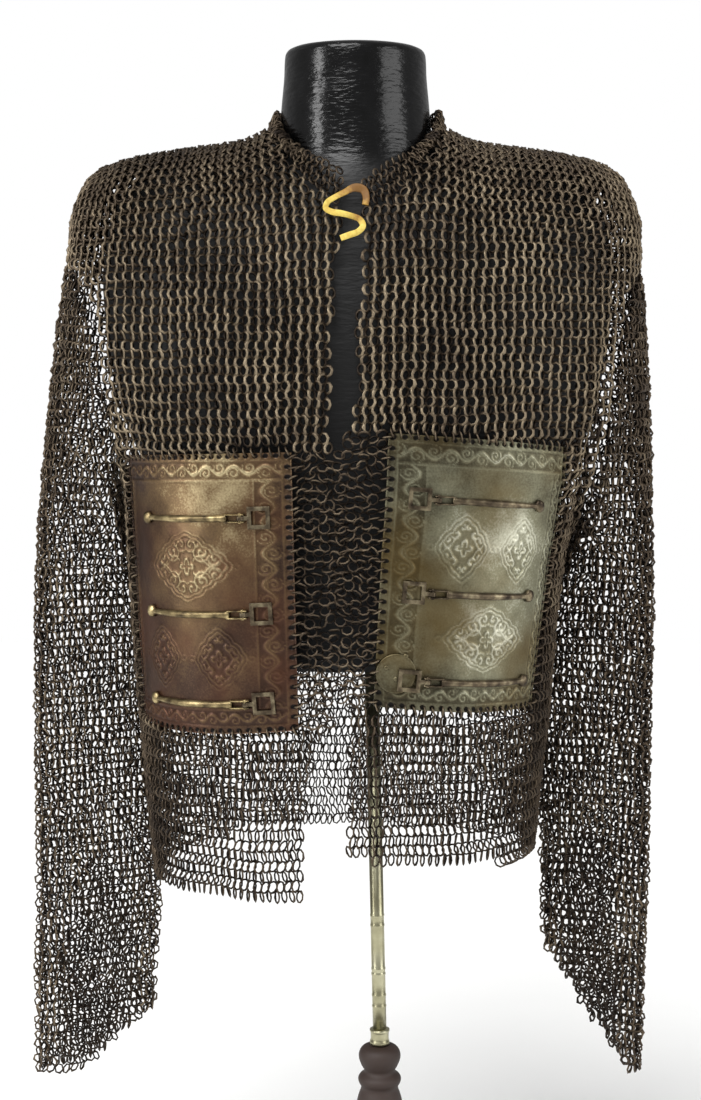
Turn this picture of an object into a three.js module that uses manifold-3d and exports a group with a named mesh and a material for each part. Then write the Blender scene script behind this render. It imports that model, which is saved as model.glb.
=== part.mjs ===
// Plate and mail armour coat, open in front, worn by a limbless dress form on a turned stand.
// Millimetres, +Z up. The coat faces -Y. Right and left are the wearer's, so the wearer's right is -X.
// The origin is at the bottom centre of the whole object, on the surface that the foot stands on.
import * as THREE from 'three';
import { mergeVertices } from 'three/addons/utils/BufferGeometryUtils.js';
import Module from 'manifold-3d';

const RIGHT = -1;
const LEFT = 1;
const FRONT = -1;
const BACK = 1;

// Mail is riveted rings, about this thick over the leaning rings.
const MAIL_WALL = 3.5;
// Clear gap between two panels of mail along a seam.
const SEAM_GAP = 0.6;
// Clear gap between a plate and the mail window that it fills.
const PLATE_GAP = 0.6;
// Moves the coat's tables, measured from the opening, to the middle of the whole object.
const CENTRE_X = 3.05;

// Body of mail. One row per height at the outer end of the shoulder. Widths are half widths from the
// centre line, depths are from the shoulder seam's plane, turns are how far round the side each front
// and half back reach, in degrees, and edges are where the two fronts start, as X.
// Above 940 the rows climb over the shoulders, and lift is how much of the shoulder's slope they take.
const BODY_COLUMNS = ['z', 'centre', 'widthR', 'widthL', 'front', 'back',
  'turnR', 'turnL', 'edgeR', 'edgeL', 'lift'];
const BODY = [
  [397.0, 0.0, 165.5, 165.0, 119, 112, 90.0, 90.0, -32.7, 1.5, 0.00],
  [430.0, 0.0, 168.0, 166.5, 120, 112, 90.0, 90.0, -32.0, 0.9, 0.00],
  [460.0, 0.0, 170.5, 169.0, 121, 113, 90.0, 90.0, -30.7, 0.4, 0.00],
  [490.0, 0.0, 173.0, 171.5, 121, 113, 90.0, 90.0, -28.3, 0.1, 0.00],
  [520.0, 0.0, 175.5, 175.0, 122, 114, 90.0, 90.0, -21.5, 0.5, 0.00],
  [548.0, 0.0, 178.0, 178.5, 123, 115, 90.0, 90.0, -15.2, 0.9, 0.00],
  [588.0, 0.0, 180.8, 180.8, 124, 117, 90.0, 90.0, -7.8, 0.2, 0.00],
  [628.0, 0.0, 183.3, 183.8, 125, 118, 90.0, 90.0, -4.8, -0.4, 0.00],
  [665.0, 0.0, 185.5, 188.0, 126, 119, 90.0, 90.0, -4.2, -0.6, 0.00],
  [700.0, 0.0, 187.5, 194.0, 126, 119, 90.0, 90.0, -4.2, -0.6, 0.00],
  [740.0, 0.0, 189.5, 212.0, 126, 120, 90.0, 74.5, -4.4, -0.4, 0.00],
  [758.0, 0.0, 193.5, 223.0, 126, 121, 81.5, 69.0, -4.9, 0.2, 0.00],
  [777.0, 0.0, 200.5, 232.0, 126, 121, 73.7, 65.2, -5.9, 1.2, 0.00],
  [803.0, 1.2, 213.0, 240.0, 125, 122, 66.5, 63.6, -8.2, 3.8, 0.00],
  [829.0, 2.5, 225.0, 243.5, 124, 122, 61.5, 63.4, -10.4, 7.0, 0.00],
  [855.0, 4.2, 235.5, 244.7, 122, 121, 58.6, 64.2, -9.4, 8.8, 0.00],
  [880.0, 6.0, 243.0, 245.0, 120, 120, 57.5, 65.5, -7.3, 9.7, 0.00],
  [905.0, 8.0, 247.0, 245.0, 117, 118, 60.0, 67.9, -4.7, 10.2, 0.00],
  [922.0, 9.0, 247.5, 244.5, 114, 116, 67.0, 73.0, -3.4, 10.9, 0.04],
  [934.0, 9.6, 247.3, 244.3, 112, 114, 78.0, 80.5, -2.6, 11.4, 0.08],
  [941.0, 10.0, 247.0, 244.0, 110, 113, 90.0, 90.0, -2.2, 11.8, 0.12],
  [953.0, 10.8, 246.0, 243.0, 107, 109, 90.0, 90.0, -1.4, 12.4, 0.22],
  [965.0, 11.3, 245.5, 242.0, 102, 104, 90.0, 90.0, -1.0, 12.8, 0.32],
  [972.0, 11.5, 245.0, 241.5, 98, 100, 90.0, 90.0, -13.0, 36.0, 0.40],
  [988.0, 11.5, 241.0, 237.0, 86, 88, 90.0, 90.0, -34.0, 57.0, 0.55],
  [1001.0, 11.5, 235.0, 231.5, 71, 73, 90.0, 90.0, -46.0, 69.0, 0.70],
  [1011.0, 11.5, 227.5, 225.0, 50, 52, 90.0, 90.0, -54.5, 77.5, 0.85],
  [1017.5, 11.5, 219.5, 217.0, 26, 28, 90.0, 90.0, -60.5, 83.5, 0.95],
  [1020.0, 11.5, 216.0, 214.0, 0, 0, 90.0, 90.0, -63.5, 86.5, 1.00],
];
// How square the body's horizontal sections are: 2 is an ellipse.
const SQUARENESS = 2.5;
// Height of the shoulder seam by distance from the neck's centre line.
const SHOULDER_COLUMNS = ['out', 'z'];
const SHOULDER = [[0, 1055], [60, 1055], [75, 1051.5], [97, 1042], [125, 1037], [150, 1034],
  [175, 1030], [200, 1025], [216, 1020], [260, 1020]];
const SHOULDER_END_Z = 1020;
const NECK_HALF_WIDTH = 75;
const NECK_BACK_DEPTH = 79;
const NAPE_DROP = 22;
const NECKLINE_FROM_Z = 965;
// Lowest level of each armhole, and the level where the cap closes over the outside of the arm.
const ARMPIT_Z = { [RIGHT]: 740, [LEFT]: 700 };
const CAP_Z = 941;

// Hems, as heights at the opening, in the middle and at the side.
const HEM_COLUMNS = ['opening', 'middle', 'side'];
const HEM = {
  front: { [RIGHT]: [398, 397, 394], [LEFT]: [434, 425, 416] },
  back: { [RIGHT]: [409, 403, 396], [LEFT]: [409, 412, 415] },
};
const HEM_FADE_Z = 520;

// The two belly plates: corners as X and Z, and how far the lower edge bows down.
const PLATE_THICKNESS = 1.8;
const PLATE_PROUD = 0.6;
const PLATE_COLUMNS = ['x', 'z'];
const PLATE = {
  [RIGHT]: { innerTop: [-41.6, 780.6], innerFoot: [-36.5, 548.8],
    outerTop: [-183.0, 775.4], outerFoot: [-171.9, 545.5], bow: 5 },
  [LEFT]: { innerTop: [34.1, 796.2], innerFoot: [23.3, 569.3],
    outerTop: [184.0, 783.0], outerFoot: [158.2, 561.0], bow: 4 },
};
const PLATE_TOP_LEVEL = 777;
const PLATE_FOOT_LEVEL = 548;

// Sleeve sections below the armhole: outside is level with the widest point, ahead is how far in front
// of the inner end it lies. They hang flattened, with the inner edge behind the body's side.
const SLEEVE_COLUMNS = ['z', 'x', 'y', 'halfLength', 'halfThickness', 'turn'];
const SLEEVE = {
  [RIGHT]: [
    [600, 222.5, 30, 58, 25, 32],
    [500, 224.0, 32, 58, 20, 30],
    [380, 224.0, 34, 57, 17, 27],
    [300, 228.0, 34, 56, 15, 25],
    [207, 230.5, 34, 54, 14, 25],
  ],
  [LEFT]: [
    [600, 222.5, 30, 57, 25, 32],
    [500, 225.5, 32, 53, 21, 30],
    [420, 228.0, 33, 50, 18, 26],
    [330, 229.0, 33, 47, 16, 24],
    [207, 228.0, 33, 46, 15, 24],
  ],
};
// The cuffs are cut on a slant: the outer side is low and the inner side rises.
const CUFF_COLUMNS = ['low', 'high', 'from', 'to'];
const CUFF = { [RIGHT]: [207, 250, 238, 178], [LEFT]: [207, 310, 257, 187] };
const SLEEVE_TOP_GAP = 1.2;
const SLEEVE_SIDE_GAP = { [RIGHT]: 1.7, [LEFT]: 1.0 };
const SLEEVE_ARMPIT_GAP = 5;
const SLEEVE_BODY_GAP = MAIL_WALL + 3;
const SLEEVE_SPREAD = { [RIGHT]: 0.18, [LEFT]: 0.13 };
const SLEEVE_DROP_ROWS = 7;
const SLEEVE_HANG_Z = [560, 500, 440, 380, 330, 280, 240];

// Standing collar: top edge by angle round the neck from the throat, in degrees.
const COLLAR_COLUMNS = ['angle', 'radius', 'z'];
const COLLAR = [[0, 91, 999], [5, 91, 1003], [10, 90, 1012], [20, 85, 1020], [35, 79, 1028],
  [62, 71, 1045], [90, 70, 1067], [135, 71, 1065], [180, 75, 1061]];
const COLLAR_CENTRE_X = 11.5;
const COLLAR_GAP = 2;
const COLLAR_WALL = 3;

// Dress form: half width, and depth before and behind, by height. The neck block rises through it.
const FORM_COLUMNS = ['z', 'width', 'front', 'back'];
const FORM = [
  [593.0, 146, 92, 90], [600.0, 149, 95, 93], [650.0, 154, 99, 95], [720.0, 170, 104, 100],
  [760.0, 186, 108, 104], [800.0, 203, 111, 107], [860.0, 216, 111, 109], [920.0, 221, 104, 105],
  [960.0, 217, 92, 94],
  [985.0, 209, 78, 80], [1003.0, 197, 63, 65], [1015.0, 187, 50, 52], [1023.0, 179, 42, 44],
  [1027.2, 173, 36, 37], [1031.0, 150, 31, 32], [1034.0, 125, 28, 28], [1039.0, 98, 26, 26],
  [1044.6, 84, 24, 24], [1049.0, 70, 22, 22], [1060.0, 20, 10, 10],
];
const NECK_COLUMNS = ['z', 'radius'];
const NECK = [[593, 20], [950, 60], [975, 82], [990, 81], [1010, 74], [1030, 68], [1050, 65.3],
  [1069, 64], [1095, 61.5], [1114, 60.4], [1118.4, 58], [1120.2, 54]];
const FORM_CENTRE_COLUMNS = ['z', 'x'];
const FORM_CENTRE = [[593, 22], [740, 13.5], [1000, 11.5], [1034, 11.5], [1060, 9.7], [1120.2, 9.7]];
const FORM_SEGMENTS = 32;
const FORM_LEVELS = [593, 600, 640, 690, 730, 765, 800, 860, 910, 950, 975, 990, 1003, 1015, 1023, 1027.2, 1031,
  1034, 1039, 1044.6, 1049, 1069, 1095, 1114, 1118.4, 1120.2];

// Stand: a plated pole leaning a little, a ferrule, a turned column and a round foot.
const POLE_TOP = [24.0, 592.5];
const POLE_FOOT = [32.0, 251.0];
const POLE_RADIUS = 6.2;
const FERRULE_RADIUS = 9;
const STAND_X = 32;
const COLUMN_PROFILE = [[0, 26.4], [30, 26.4], [30, 32], [22, 37], [16, 48], [14, 70], [15, 92],
  [20, 104], [20, 109], [16, 114], [19, 130], [23, 152], [23, 170], [19.5, 188], [16, 196],
  [19.5, 201], [19.5, 206], [13, 211], [16.5, 216], [19.5, 224], [18, 231], [12.5, 235], [0, 235]];
const FOOT_PROFILE = [[0, 0], [158, 0], [160, 3], [160, 11], [154, 16], [148, 18], [60, 23], [40, 26], [0, 26]];
const TURNED_SEGMENTS = 28;

// Clasps: each bar lies across its plate and ends in a fork, and the fork's pin carries a square frame.
// Distances run along the plate from its inner edge, and heights are above the plate's face.
const CLASP_SHARES = [0.23, 0.569, 0.89];
const FRAME_NEAR = 38.5;
const FRAME_FAR = 19.5;
const FRAME_HEIGHT = 18.5;
const FRAME_BORDER = 3.4;
const FRAME_THICKNESS = 2;
const FRAME_CLEARANCE = 0.8;
const PIN_AT = 44.5;
const PIN_RADIUS = 1.1;
const PIN_HEIGHT = 3.4;
const EYE_RADIUS = 2.6;
const EYE_BORE = 1.5;
const SHANK_WIDTH = 3.4;
const FORK_TIP = 41;
const FORK_ROOT = 57;
const FORK_SLOT = 4.2;
const PRONG_WIDTH = 1.8;
const PRONG_HEIGHT = 4.9;
const BAR_CLEARANCE = 0.45;
// Bar stations from the fork to the root, as distance, width and height.
const BAR_COLUMNS = ['at', 'width', 'height'];
const BAR = [[56, 7.6, 3.6], [62, 5.6, 3.6], [71, 5.5, 3.7], [80, 5.6, 3.8], [88, 5.9, 4.0], [96, 6.2, 4.2],
  [104, 5.9, 4.0], [112, 5.4, 3.8], [119, 4.9, 3.5], [126, 4.4, 3.2], [130, 4.8, 3.2], [132, 9.5, 3.8],
  [135, 10.5, 4.4], [138, 8.0, 3.0]];
const BAR_SECTION_POINTS = 6;

// Round repair patch riveted on the left plate below its lowest frame.
const PATCH_AT = [42.9, 597.0];
const PATCH_RADIUS = 16.8;
const PATCH_THICKNESS = 1.1;
const PATCH_SEGMENTS = 28;

// Leather thong tied across the throat, as X, Z and how far it stands off the mail's outer face.
const THONG_COLUMNS = ['x', 'z', 'off'];
const THONG = [[17.5, 980.5, 3.6], [18.3, 986.5, 4.0], [16.0, 993.0, 4.8], [9.0, 994.8, 5.6], [1.0, 991.0, 6.2],
  [-7.0, 986.8, 6.6], [-13.2, 982.6, 6.2], [-14.6, 977.6, 5.6], [-9.4, 974.6, 5.2], [-2.0, 973.4, 5.0],
  [6.0, 971.4, 5.0], [13.0, 968.4, 5.2], [15.6, 963.0, 5.4], [11.6, 958.4, 5.2], [4.6, 955.8, 4.8],
  [-2.6, 953.2, 4.2]];
const THONG_RADIUS = 2.6;
const THONG_STEPS = 40;
const THONG_SIDES = 7;

const wasm = await Module();
wasm.setup();

// Tables

function rowsOf(columns, table) {
  return table.map((row) => Object.fromEntries(columns.map((name, i) => [name, row[i]])));
}

// Value of a named column at a place along the table's first column, on a smooth curve through the rows.
function along(rows, key, name, at) {
  const last = rows.length - 1;
  const step = rows[last][key] > rows[0][key] ? 1 : -1;
  const place = Math.min(Math.max(at * step, rows[0][key] * step), rows[last][key] * step) * step;
  let i = 0;
  while (i < last - 1 && rows[i + 1][key] * step <= place * step) i += 1;
  const [a, b] = [rows[i], rows[i + 1]];
  const span = b[key] - a[key];
  const t = (place - a[key]) / span;
  const slope = (j) => {
    const [p, q] = [rows[Math.max(j - 1, 0)], rows[Math.min(j + 1, last)]];
    return (q[name] - p[name]) / (q[key] - p[key]);
  };
  const rise = (b[name] - a[name]) / span;
  const tame = (s) => (rise * s <= 0 ? 0 : Math.sign(rise) * Math.min(Math.abs(s), 3 * Math.abs(rise)));
  const [m0, m1] = [tame(slope(i)) * span, tame(slope(i + 1)) * span];
  return a[name] + t * (m0 + t * (3 * (b[name] - a[name]) - 2 * m0 - m1
    + t * (m0 + m1 - 2 * (b[name] - a[name]))));
}

const body = rowsOf(BODY_COLUMNS, BODY);
const shoulder = rowsOf(SHOULDER_COLUMNS, SHOULDER);
const bodyAt = (name, z) => along(body, 'z', name, z);
const sideName = (side) => (side === RIGHT ? 'R' : 'L');
const mix = (a, b, t) => a + (b - a) * t;
const clamp01 = (t) => Math.min(Math.max(t, 0), 1);
const radians = (degrees) => degrees * Math.PI / 180;

// The body's surface

// Angle round the section, from the centre line's 0 to the side's 90 degrees, of a point by its X.
function angleOfX(side, z, x) {
  const share = side * (x - bodyAt('centre', z)) / bodyAt(`width${sideName(side)}`, z);
  return Math.sign(share) * Math.asin(Math.min(Math.abs(share), 1) ** (SQUARENESS / 2));
}

// A point of the mail's middle surface: a squared ellipse round the centre line at each level, lifted
// along the shoulder's slope near the top, and kept out of the neck opening behind.
function bodyPoint(side, face, z, angle) {
  const sine = Math.sin(angle);
  const out = Math.sign(sine) * Math.abs(sine) ** (2 / SQUARENESS) * bodyAt(`width${sideName(side)}`, z);
  let depth = Math.max(Math.cos(angle), 0) ** (2 / SQUARENESS) * bodyAt(face === FRONT ? 'front' : 'back', z);
  const reach = Math.abs(out);
  let ridge = along(shoulder, 'out', 'z', reach);
  if (face === BACK && reach < NECK_HALF_WIDTH) {
    const round = 1 - (reach / NECK_HALF_WIDTH) ** 2;
    ridge -= NAPE_DROP * round;
    if (z > NECKLINE_FROM_Z) depth = Math.max(depth, NECK_BACK_DEPTH * Math.sqrt(round));
  }
  const x = bodyAt('centre', z) + side * out;
  const y = face * (depth + SEAM_GAP / 2);
  return new THREE.Vector3(x, y, z + bodyAt('lift', z) * (ridge - SHOULDER_END_Z));
}

const LEVELS = body.map((row) => row.z);

// Shells

// Unit normals of a grid of points, from the neighbours across and along. On the plane of the shoulder
// and side seams they lie in the plane, so that the two walls meet face to face.
function gridNormals(grid, outward, closed) {
  const last = grid.length - 1;
  return grid.map((row, i) => row.map((_, j) => {
    const n = row.length;
    const before = closed ? (j + n - 1) % n : Math.max(j - 1, 0);
    const after = closed ? (j + 1) % n : Math.min(j + 1, n - 1);
    const across = row[after].clone().sub(row[before]);
    const down = grid[Math.min(i + 1, last)][j].clone().sub(grid[Math.max(i - 1, 0)][j]);
    const normal = across.cross(down);
    if (Math.abs(row[j].y) < SEAM_GAP) normal.setY(0);
    return normal.normalize().multiplyScalar(outward);
  }));
}

// Closed solid between a grid moved out by one offset and in by another. Cells that keep says no to
// are left out, and every open edge gets a wall.
function shell(grid, { outer, inner, outward, closed = false, keep = () => true }) {
  const normals = gridNormals(grid, outward, closed);
  const rows = grid.length - 1;
  const points = grid[0].length;
  const columns = closed ? points : points - 1;
  const positions = [];
  const place = (i, j, offset) => {
    const p = grid[i][j % points].clone().addScaledVector(normals[i][j % points], offset);
    return [p.x, p.y, p.z];
  };
  const triangle = (a, b, c) => positions.push(...(outward > 0 ? [...a, ...b, ...c] : [...a, ...c, ...b]));
  const quad = (a, b, c, d) => {
    triangle(a, b, c);
    triangle(a, c, d);
  };
  const has = (i, j) => {
    if (i < 0 || i >= rows) return false;
    if (!closed && (j < 0 || j >= columns)) return false;
    return keep(i, (j + columns) % columns);
  };
  for (let i = 0; i < rows; i += 1) {
    for (let j = 0; j < columns; j += 1) {
      if (!has(i, j)) continue;
      const corners = [[i, j], [i, j + 1], [i + 1, j + 1], [i + 1, j]];
      const top = corners.map(([r, c]) => place(r, c, outer));
      const under = corners.map(([r, c]) => place(r, c, inner));
      quad(...top);
      quad(under[3], under[2], under[1], under[0]);
      const beyond = [[i - 1, j], [i, j + 1], [i + 1, j], [i, j - 1]];
      beyond.forEach(([r, c], k) => {
        const next = (k + 1) % 4;
        if (!has(r, c)) quad(under[k], under[next], top[next], top[k]);
      });
    }
  }
  return geometryOf(positions);
}

function geometryOf(positions) {
  const geometry = new THREE.BufferGeometry();
  geometry.setAttribute('position', new THREE.Float32BufferAttribute(positions, 3));
  return geometry;
}

// Closed solid through a stack of rings with the same number of points, ends filled from their middles.
function loft(rings) {
  const positions = [];
  const count = rings[0].length;
  const push = (...points) => points.forEach((p) => positions.push(p.x, p.y, p.z));
  for (let i = 0; i < rings.length - 1; i += 1) {
    for (let j = 0; j < count; j += 1) {
      const k = (j + 1) % count;
      push(rings[i][j], rings[i][k], rings[i + 1][k]);
      push(rings[i][j], rings[i + 1][k], rings[i + 1][j]);
    }
  }
  const cap = (ring, flip) => {
    const middle = ring.reduce((sum, p) => sum.add(p), new THREE.Vector3()).divideScalar(count);
    for (let j = 0; j < count; j += 1) {
      const pair = [ring[j], ring[(j + 1) % count]];
      if (flip) pair.reverse();
      push(middle, ...pair);
    }
  };
  cap(rings[0], true);
  cap(rings[rings.length - 1], false);
  return geometryOf(positions);
}

// Joins and cuts

function solidOf(geometry) {
  const bare = geometry.clone();
  bare.deleteAttribute('normal');
  bare.deleteAttribute('uv');
  const merged = mergeVertices(bare, 1e-4);
  return new wasm.Manifold(new wasm.Mesh({
    numProp: 3,
    vertProperties: merged.attributes.position.array,
    triVerts: new Uint32Array(merged.index.array),
  }));
}

function geometryFromSolid(solid) {
  const mesh = solid.getMesh();
  const geometry = new THREE.BufferGeometry();
  geometry.setAttribute('position', new THREE.BufferAttribute(new Float32Array(mesh.vertProperties), 3));
  geometry.setIndex(new THREE.BufferAttribute(new Uint32Array(mesh.triVerts), 1));
  return geometry;
}

// Materials

const finish = (color, roughness, metalness) => new THREE.MeshStandardMaterial({ color, roughness, metalness });
const rustyIron = finish(0x5a5045, 0.6, 0.8);
const russetSteel = finish(0x63503f, 0.45, 0.85);
const greySteel = finish(0x7b755f, 0.45, 0.85);
const brassySteel = finish(0x9c8f72, 0.4, 0.9);
const yellowLeather = finish(0xc9b04a, 0.7, 0);
const blackLacquer = finish(0x0c0d10, 0.25, 0);
const agedNickel = finish(0xa5a288, 0.35, 0.9);
const darkWood = finish(0x2b1a13, 0.35, 0);

const part = new THREE.Group();
const coat = new THREE.Group();
coat.position.x = CENTRE_X;
part.add(coat);

function add(name, geometry, material, parent = coat) {
  const mesh = new THREE.Mesh(geometry, material);
  mesh.name = name;
  parent.add(mesh);
  return mesh;
}

// Fronts

// Place across a plate, from 0 at its inner edge to 1 at its outer edge, at a share of its height down.
function plateAngles(side, level) {
  const p = PLATE[side];
  const down = clamp01((PLATE_TOP_LEVEL - level) / (PLATE_TOP_LEVEL - PLATE_FOOT_LEVEL));
  const z = mix(PLATE_TOP_LEVEL, PLATE_FOOT_LEVEL, down);
  return {
    edge: angleOfX(side, z, bodyAt(`edge${sideName(side)}`, z)),
    inner: angleOfX(side, z, mix(p.innerTop[0], p.innerFoot[0], down)),
    outer: angleOfX(side, z, mix(p.outerTop[0], p.outerFoot[0], down)),
    turn: radians(bodyAt(`turn${sideName(side)}`, z)),
  };
}

// How far a plate's upper and lower edges, and the rows near them, stand off their levels.
function plateShift(side, level, across) {
  const p = PLATE[side];
  const u = clamp01(across);
  const fade = across > 1 ? clamp01(2 - across) : 1;
  const top = mix(p.innerTop[1], p.outerTop[1], u) - PLATE_TOP_LEVEL;
  const foot = mix(p.innerFoot[1], p.outerFoot[1], u) - p.bow * 4 * u * (1 - u) - PLATE_FOOT_LEVEL;
  const down = (PLATE_TOP_LEVEL - level) / (PLATE_TOP_LEVEL - PLATE_FOOT_LEVEL);
  const nearTop = clamp01(down < 0 ? (829 - level) / 52 : 1 - down);
  const nearFoot = clamp01(down > 1 ? (level - 460) / 88 : down);
  return fade * (top * nearTop + foot * nearFoot);
}

function hemAt(face, side, share) {
  const [opening, middle, end] = HEM[face === FRONT ? 'front' : 'back'][side];
  return share < 0.5 ? mix(opening, middle, share * 2) : mix(middle, end, share * 2 - 1);
}

// Moves a level below the fade down or up, so that the lowest one lies on the hem.
function towardsHem(level, hem) {
  if (level >= HEM_FADE_Z) return level;
  return HEM_FADE_Z - (HEM_FADE_Z - level) * (HEM_FADE_Z - hem) / (HEM_FADE_Z - LEVELS[0]);
}

// The plate's columns sit between its two edges, so the window is a block of whole cells.
const MARGIN_CELLS = 2;
const PLATE_CELLS = 5;
const SIDE_CELLS = 4;

// Soft folds where the mail bunches in front of the armhole: deepest at the cut edge.
const FOLD_DEPTH = { [RIGHT]: 2.5, [LEFT]: 5 };
const FOLD_LOW_Z = { [RIGHT]: 700, [LEFT]: 660 };
const FOLD_HIGH_Z = 900;

function armholeFold(side, level, share) {
  const rise = clamp01((level - FOLD_LOW_Z[side]) / 60) * clamp01((FOLD_HIGH_Z - level) / 60);
  return FOLD_DEPTH[side] * rise * Math.sin(Math.PI * 3 * share) * clamp01(share * 2) * clamp01(4 - 4 * share);
}

function frontGrid(side) {
  return LEVELS.map((level) => {
    const at = plateAngles(side, level);
    const first = angleOfX(side, level, bodyAt(`edge${sideName(side)}`, level));
    const last = radians(bodyAt(`turn${sideName(side)}`, level));
    const share = (angle) => (angle - at.edge) / (at.turn - at.edge);
    const [inner, outer] = [share(at.inner), share(at.outer)].map((s) => mix(first, last, s));
    const stops = [];
    for (let i = 0; i < MARGIN_CELLS; i += 1) stops.push([mix(first, inner, i / MARGIN_CELLS), 0, 0]);
    for (let i = 0; i < PLATE_CELLS; i += 1) stops.push([mix(inner, outer, i / PLATE_CELLS), i / PLATE_CELLS, 0]);
    for (let i = 0; i <= SIDE_CELLS; i += 1) {
      const t = i / SIDE_CELLS;
      stops.push([mix(outer, last, t), 1 + t, t]);
    }
    return stops.map(([angle, across, margin]) => {
      const moved = level + plateShift(side, level, across);
      const hem = hemAt(FRONT, side, clamp01((angle - first) / (last - first)));
      const point = bodyPoint(side, FRONT, towardsHem(moved, hem), angle);
      point.y -= armholeFold(side, level, margin);
      return point;
    });
  });
}

const footRow = LEVELS.indexOf(PLATE_FOOT_LEVEL);
const topRow = LEVELS.indexOf(PLATE_TOP_LEVEL);
const inWindow = (i, j) => i >= footRow && i < topRow && j >= MARGIN_CELLS && j < MARGIN_CELLS + PLATE_CELLS;

const fronts = { [RIGHT]: frontGrid(RIGHT), [LEFT]: frontGrid(LEFT) };
const sideWord = { [RIGHT]: 'right', [LEFT]: 'left' };
for (const side of [RIGHT, LEFT]) {
  const geometry = shell(fronts[side], {
    outer: MAIL_WALL / 2,
    inner: -MAIL_WALL / 2,
    outward: side === LEFT ? 1 : -1,
    keep: (i, j) => !inWindow(i, j),
  });
  add(`front_${sideWord[side]}`, geometry, rustyIron);
}

// Back, in one piece from side to side and over to the shoulder seams

const NECK_CELLS = 4;
const BACK_CELLS = 7;

// Column angles behind the neck, evenly round its opening.
function neckAngle(i) {
  const out = NECK_HALF_WIDTH * Math.sin(Math.PI / 2 * i / NECK_CELLS);
  return Math.asin((out / body[body.length - 1].widthR) ** (SQUARENESS / 2));
}

function backShares() {
  const shares = [];
  for (let i = 0; i < NECK_CELLS; i += 1) shares.push([neckAngle(i), 0]);
  for (let i = 0; i <= BACK_CELLS; i += 1) shares.push([neckAngle(NECK_CELLS), i / BACK_CELLS]);
  const half = shares.map(([angle, rest]) => (turn) => angle + (turn - angle) * rest);
  const right = half.map((f) => [RIGHT, f]).reverse();
  return [...right, ...half.slice(1).map((f) => [LEFT, f])];
}

const backColumns = backShares();
const backGrid = LEVELS.map((level) => backColumns.map(([side, angleFor]) => {
  const turn = radians(bodyAt(`turn${sideName(side)}`, level));
  const angle = angleFor(turn);
  return bodyPoint(side, BACK, towardsHem(level, hemAt(BACK, side, angle / turn)), angle);
}));
add('back', shell(backGrid, { outer: MAIL_WALL / 2, inner: -MAIL_WALL / 2, outward: -1 }), rustyIron);

// Sleeves

// Closed loop round an armhole, from the outside of the arm down the front to the armpit and up behind.
function armholeLoop(side) {
  const levels = LEVELS.filter((z) => z >= ARMPIT_Z[side] && z <= CAP_Z).reverse();
  const ends = (face) => levels.map((z) => {
    const angle = radians(bodyAt(`turn${sideName(side)}`, z));
    const end = bodyPoint(side, face, z, angle);
    const onwards = end.clone().sub(bodyPoint(side, face, z, angle - 0.02)).normalize();
    return end.addScaledVector(onwards, SLEEVE_TOP_GAP);
  });
  const [front, back] = [ends(FRONT), ends(BACK)];
  const crown = front[0].clone().setY(0);
  const armpit = front[front.length - 1].clone().setY(0);
  const loop = [crown, ...front.slice(1, -1), armpit, ...back.slice(1, -1).reverse()];
  const turning = loop.length / 2;
  return loop.map((p, k) => {
    const inwards = (1 - Math.cos(Math.PI * Math.min(k, loop.length - k) / turning)) / 2;
    const gap = mix(SLEEVE_SIDE_GAP[side], SLEEVE_ARMPIT_GAP, inwards ** 6);
    return p.clone().add(new THREE.Vector3(side * gap, 0, -SLEEVE_TOP_GAP));
  });
}

// Angle of each point of the loop round the arm, in step with its length along the loop.
function loopAngles(loop) {
  const half = loop.length / 2;
  const lengths = loop.map((p, k) => p.distanceTo(loop[(k + 1) % loop.length]));
  const total = (from, to) => lengths.slice(from, to).reduce((a, b) => a + b, 0);
  const [front, back] = [total(0, half), total(half, loop.length)];
  return loop.map((_, k) => (k <= half
    ? Math.PI * total(0, k) / front
    : Math.PI + Math.PI * total(half, k) / back));
}

// Point of a hanging section: a flat ellipse turned about the vertical, its outer end forward.
function sleevePoint(side, z, angle) {
  const rows = rowsOf(SLEEVE_COLUMNS, SLEEVE[side]);
  const at = (name) => along(rows, 'z', name, z);
  const turn = radians(at('turn'));
  const length = at('halfLength') * Math.cos(angle);
  const thick = at('halfThickness') * Math.sin(angle);
  const x = at('x') + length * Math.cos(turn) - thick * Math.sin(turn);
  const y = at('y') - length * Math.sin(turn) - thick * Math.cos(turn);
  return new THREE.Vector3(side * x, y, z);
}

// Keeps a sleeve's point outside the body's side by the clearance between the two walls.
function outsideBody(side, point) {
  const z = point.z;
  if (z > ARMPIT_Z[side]) return point;
  const width = Math.min(bodyAt(`width${sideName(side)}`, z), bodyAt('widthR', z) + 2) + SLEEVE_BODY_GAP;
  const depth = bodyAt(point.y < 0 ? 'front' : 'back', z) + SLEEVE_BODY_GAP;
  const centre = bodyAt('centre', z);
  const reach = (Math.abs((point.x - centre) / width) ** SQUARENESS
    + Math.abs(point.y / depth) ** SQUARENESS) ** (1 / SQUARENESS);
  if (reach >= 1) return point;
  point.x = centre + (point.x - centre) / reach;
  point.y /= reach;
  return point;
}

function cuffAt(side, x) {
  const [low, high, from, to] = CUFF[side];
  return mix(low, high, clamp01((from - Math.abs(x)) / (from - to)));
}

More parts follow.
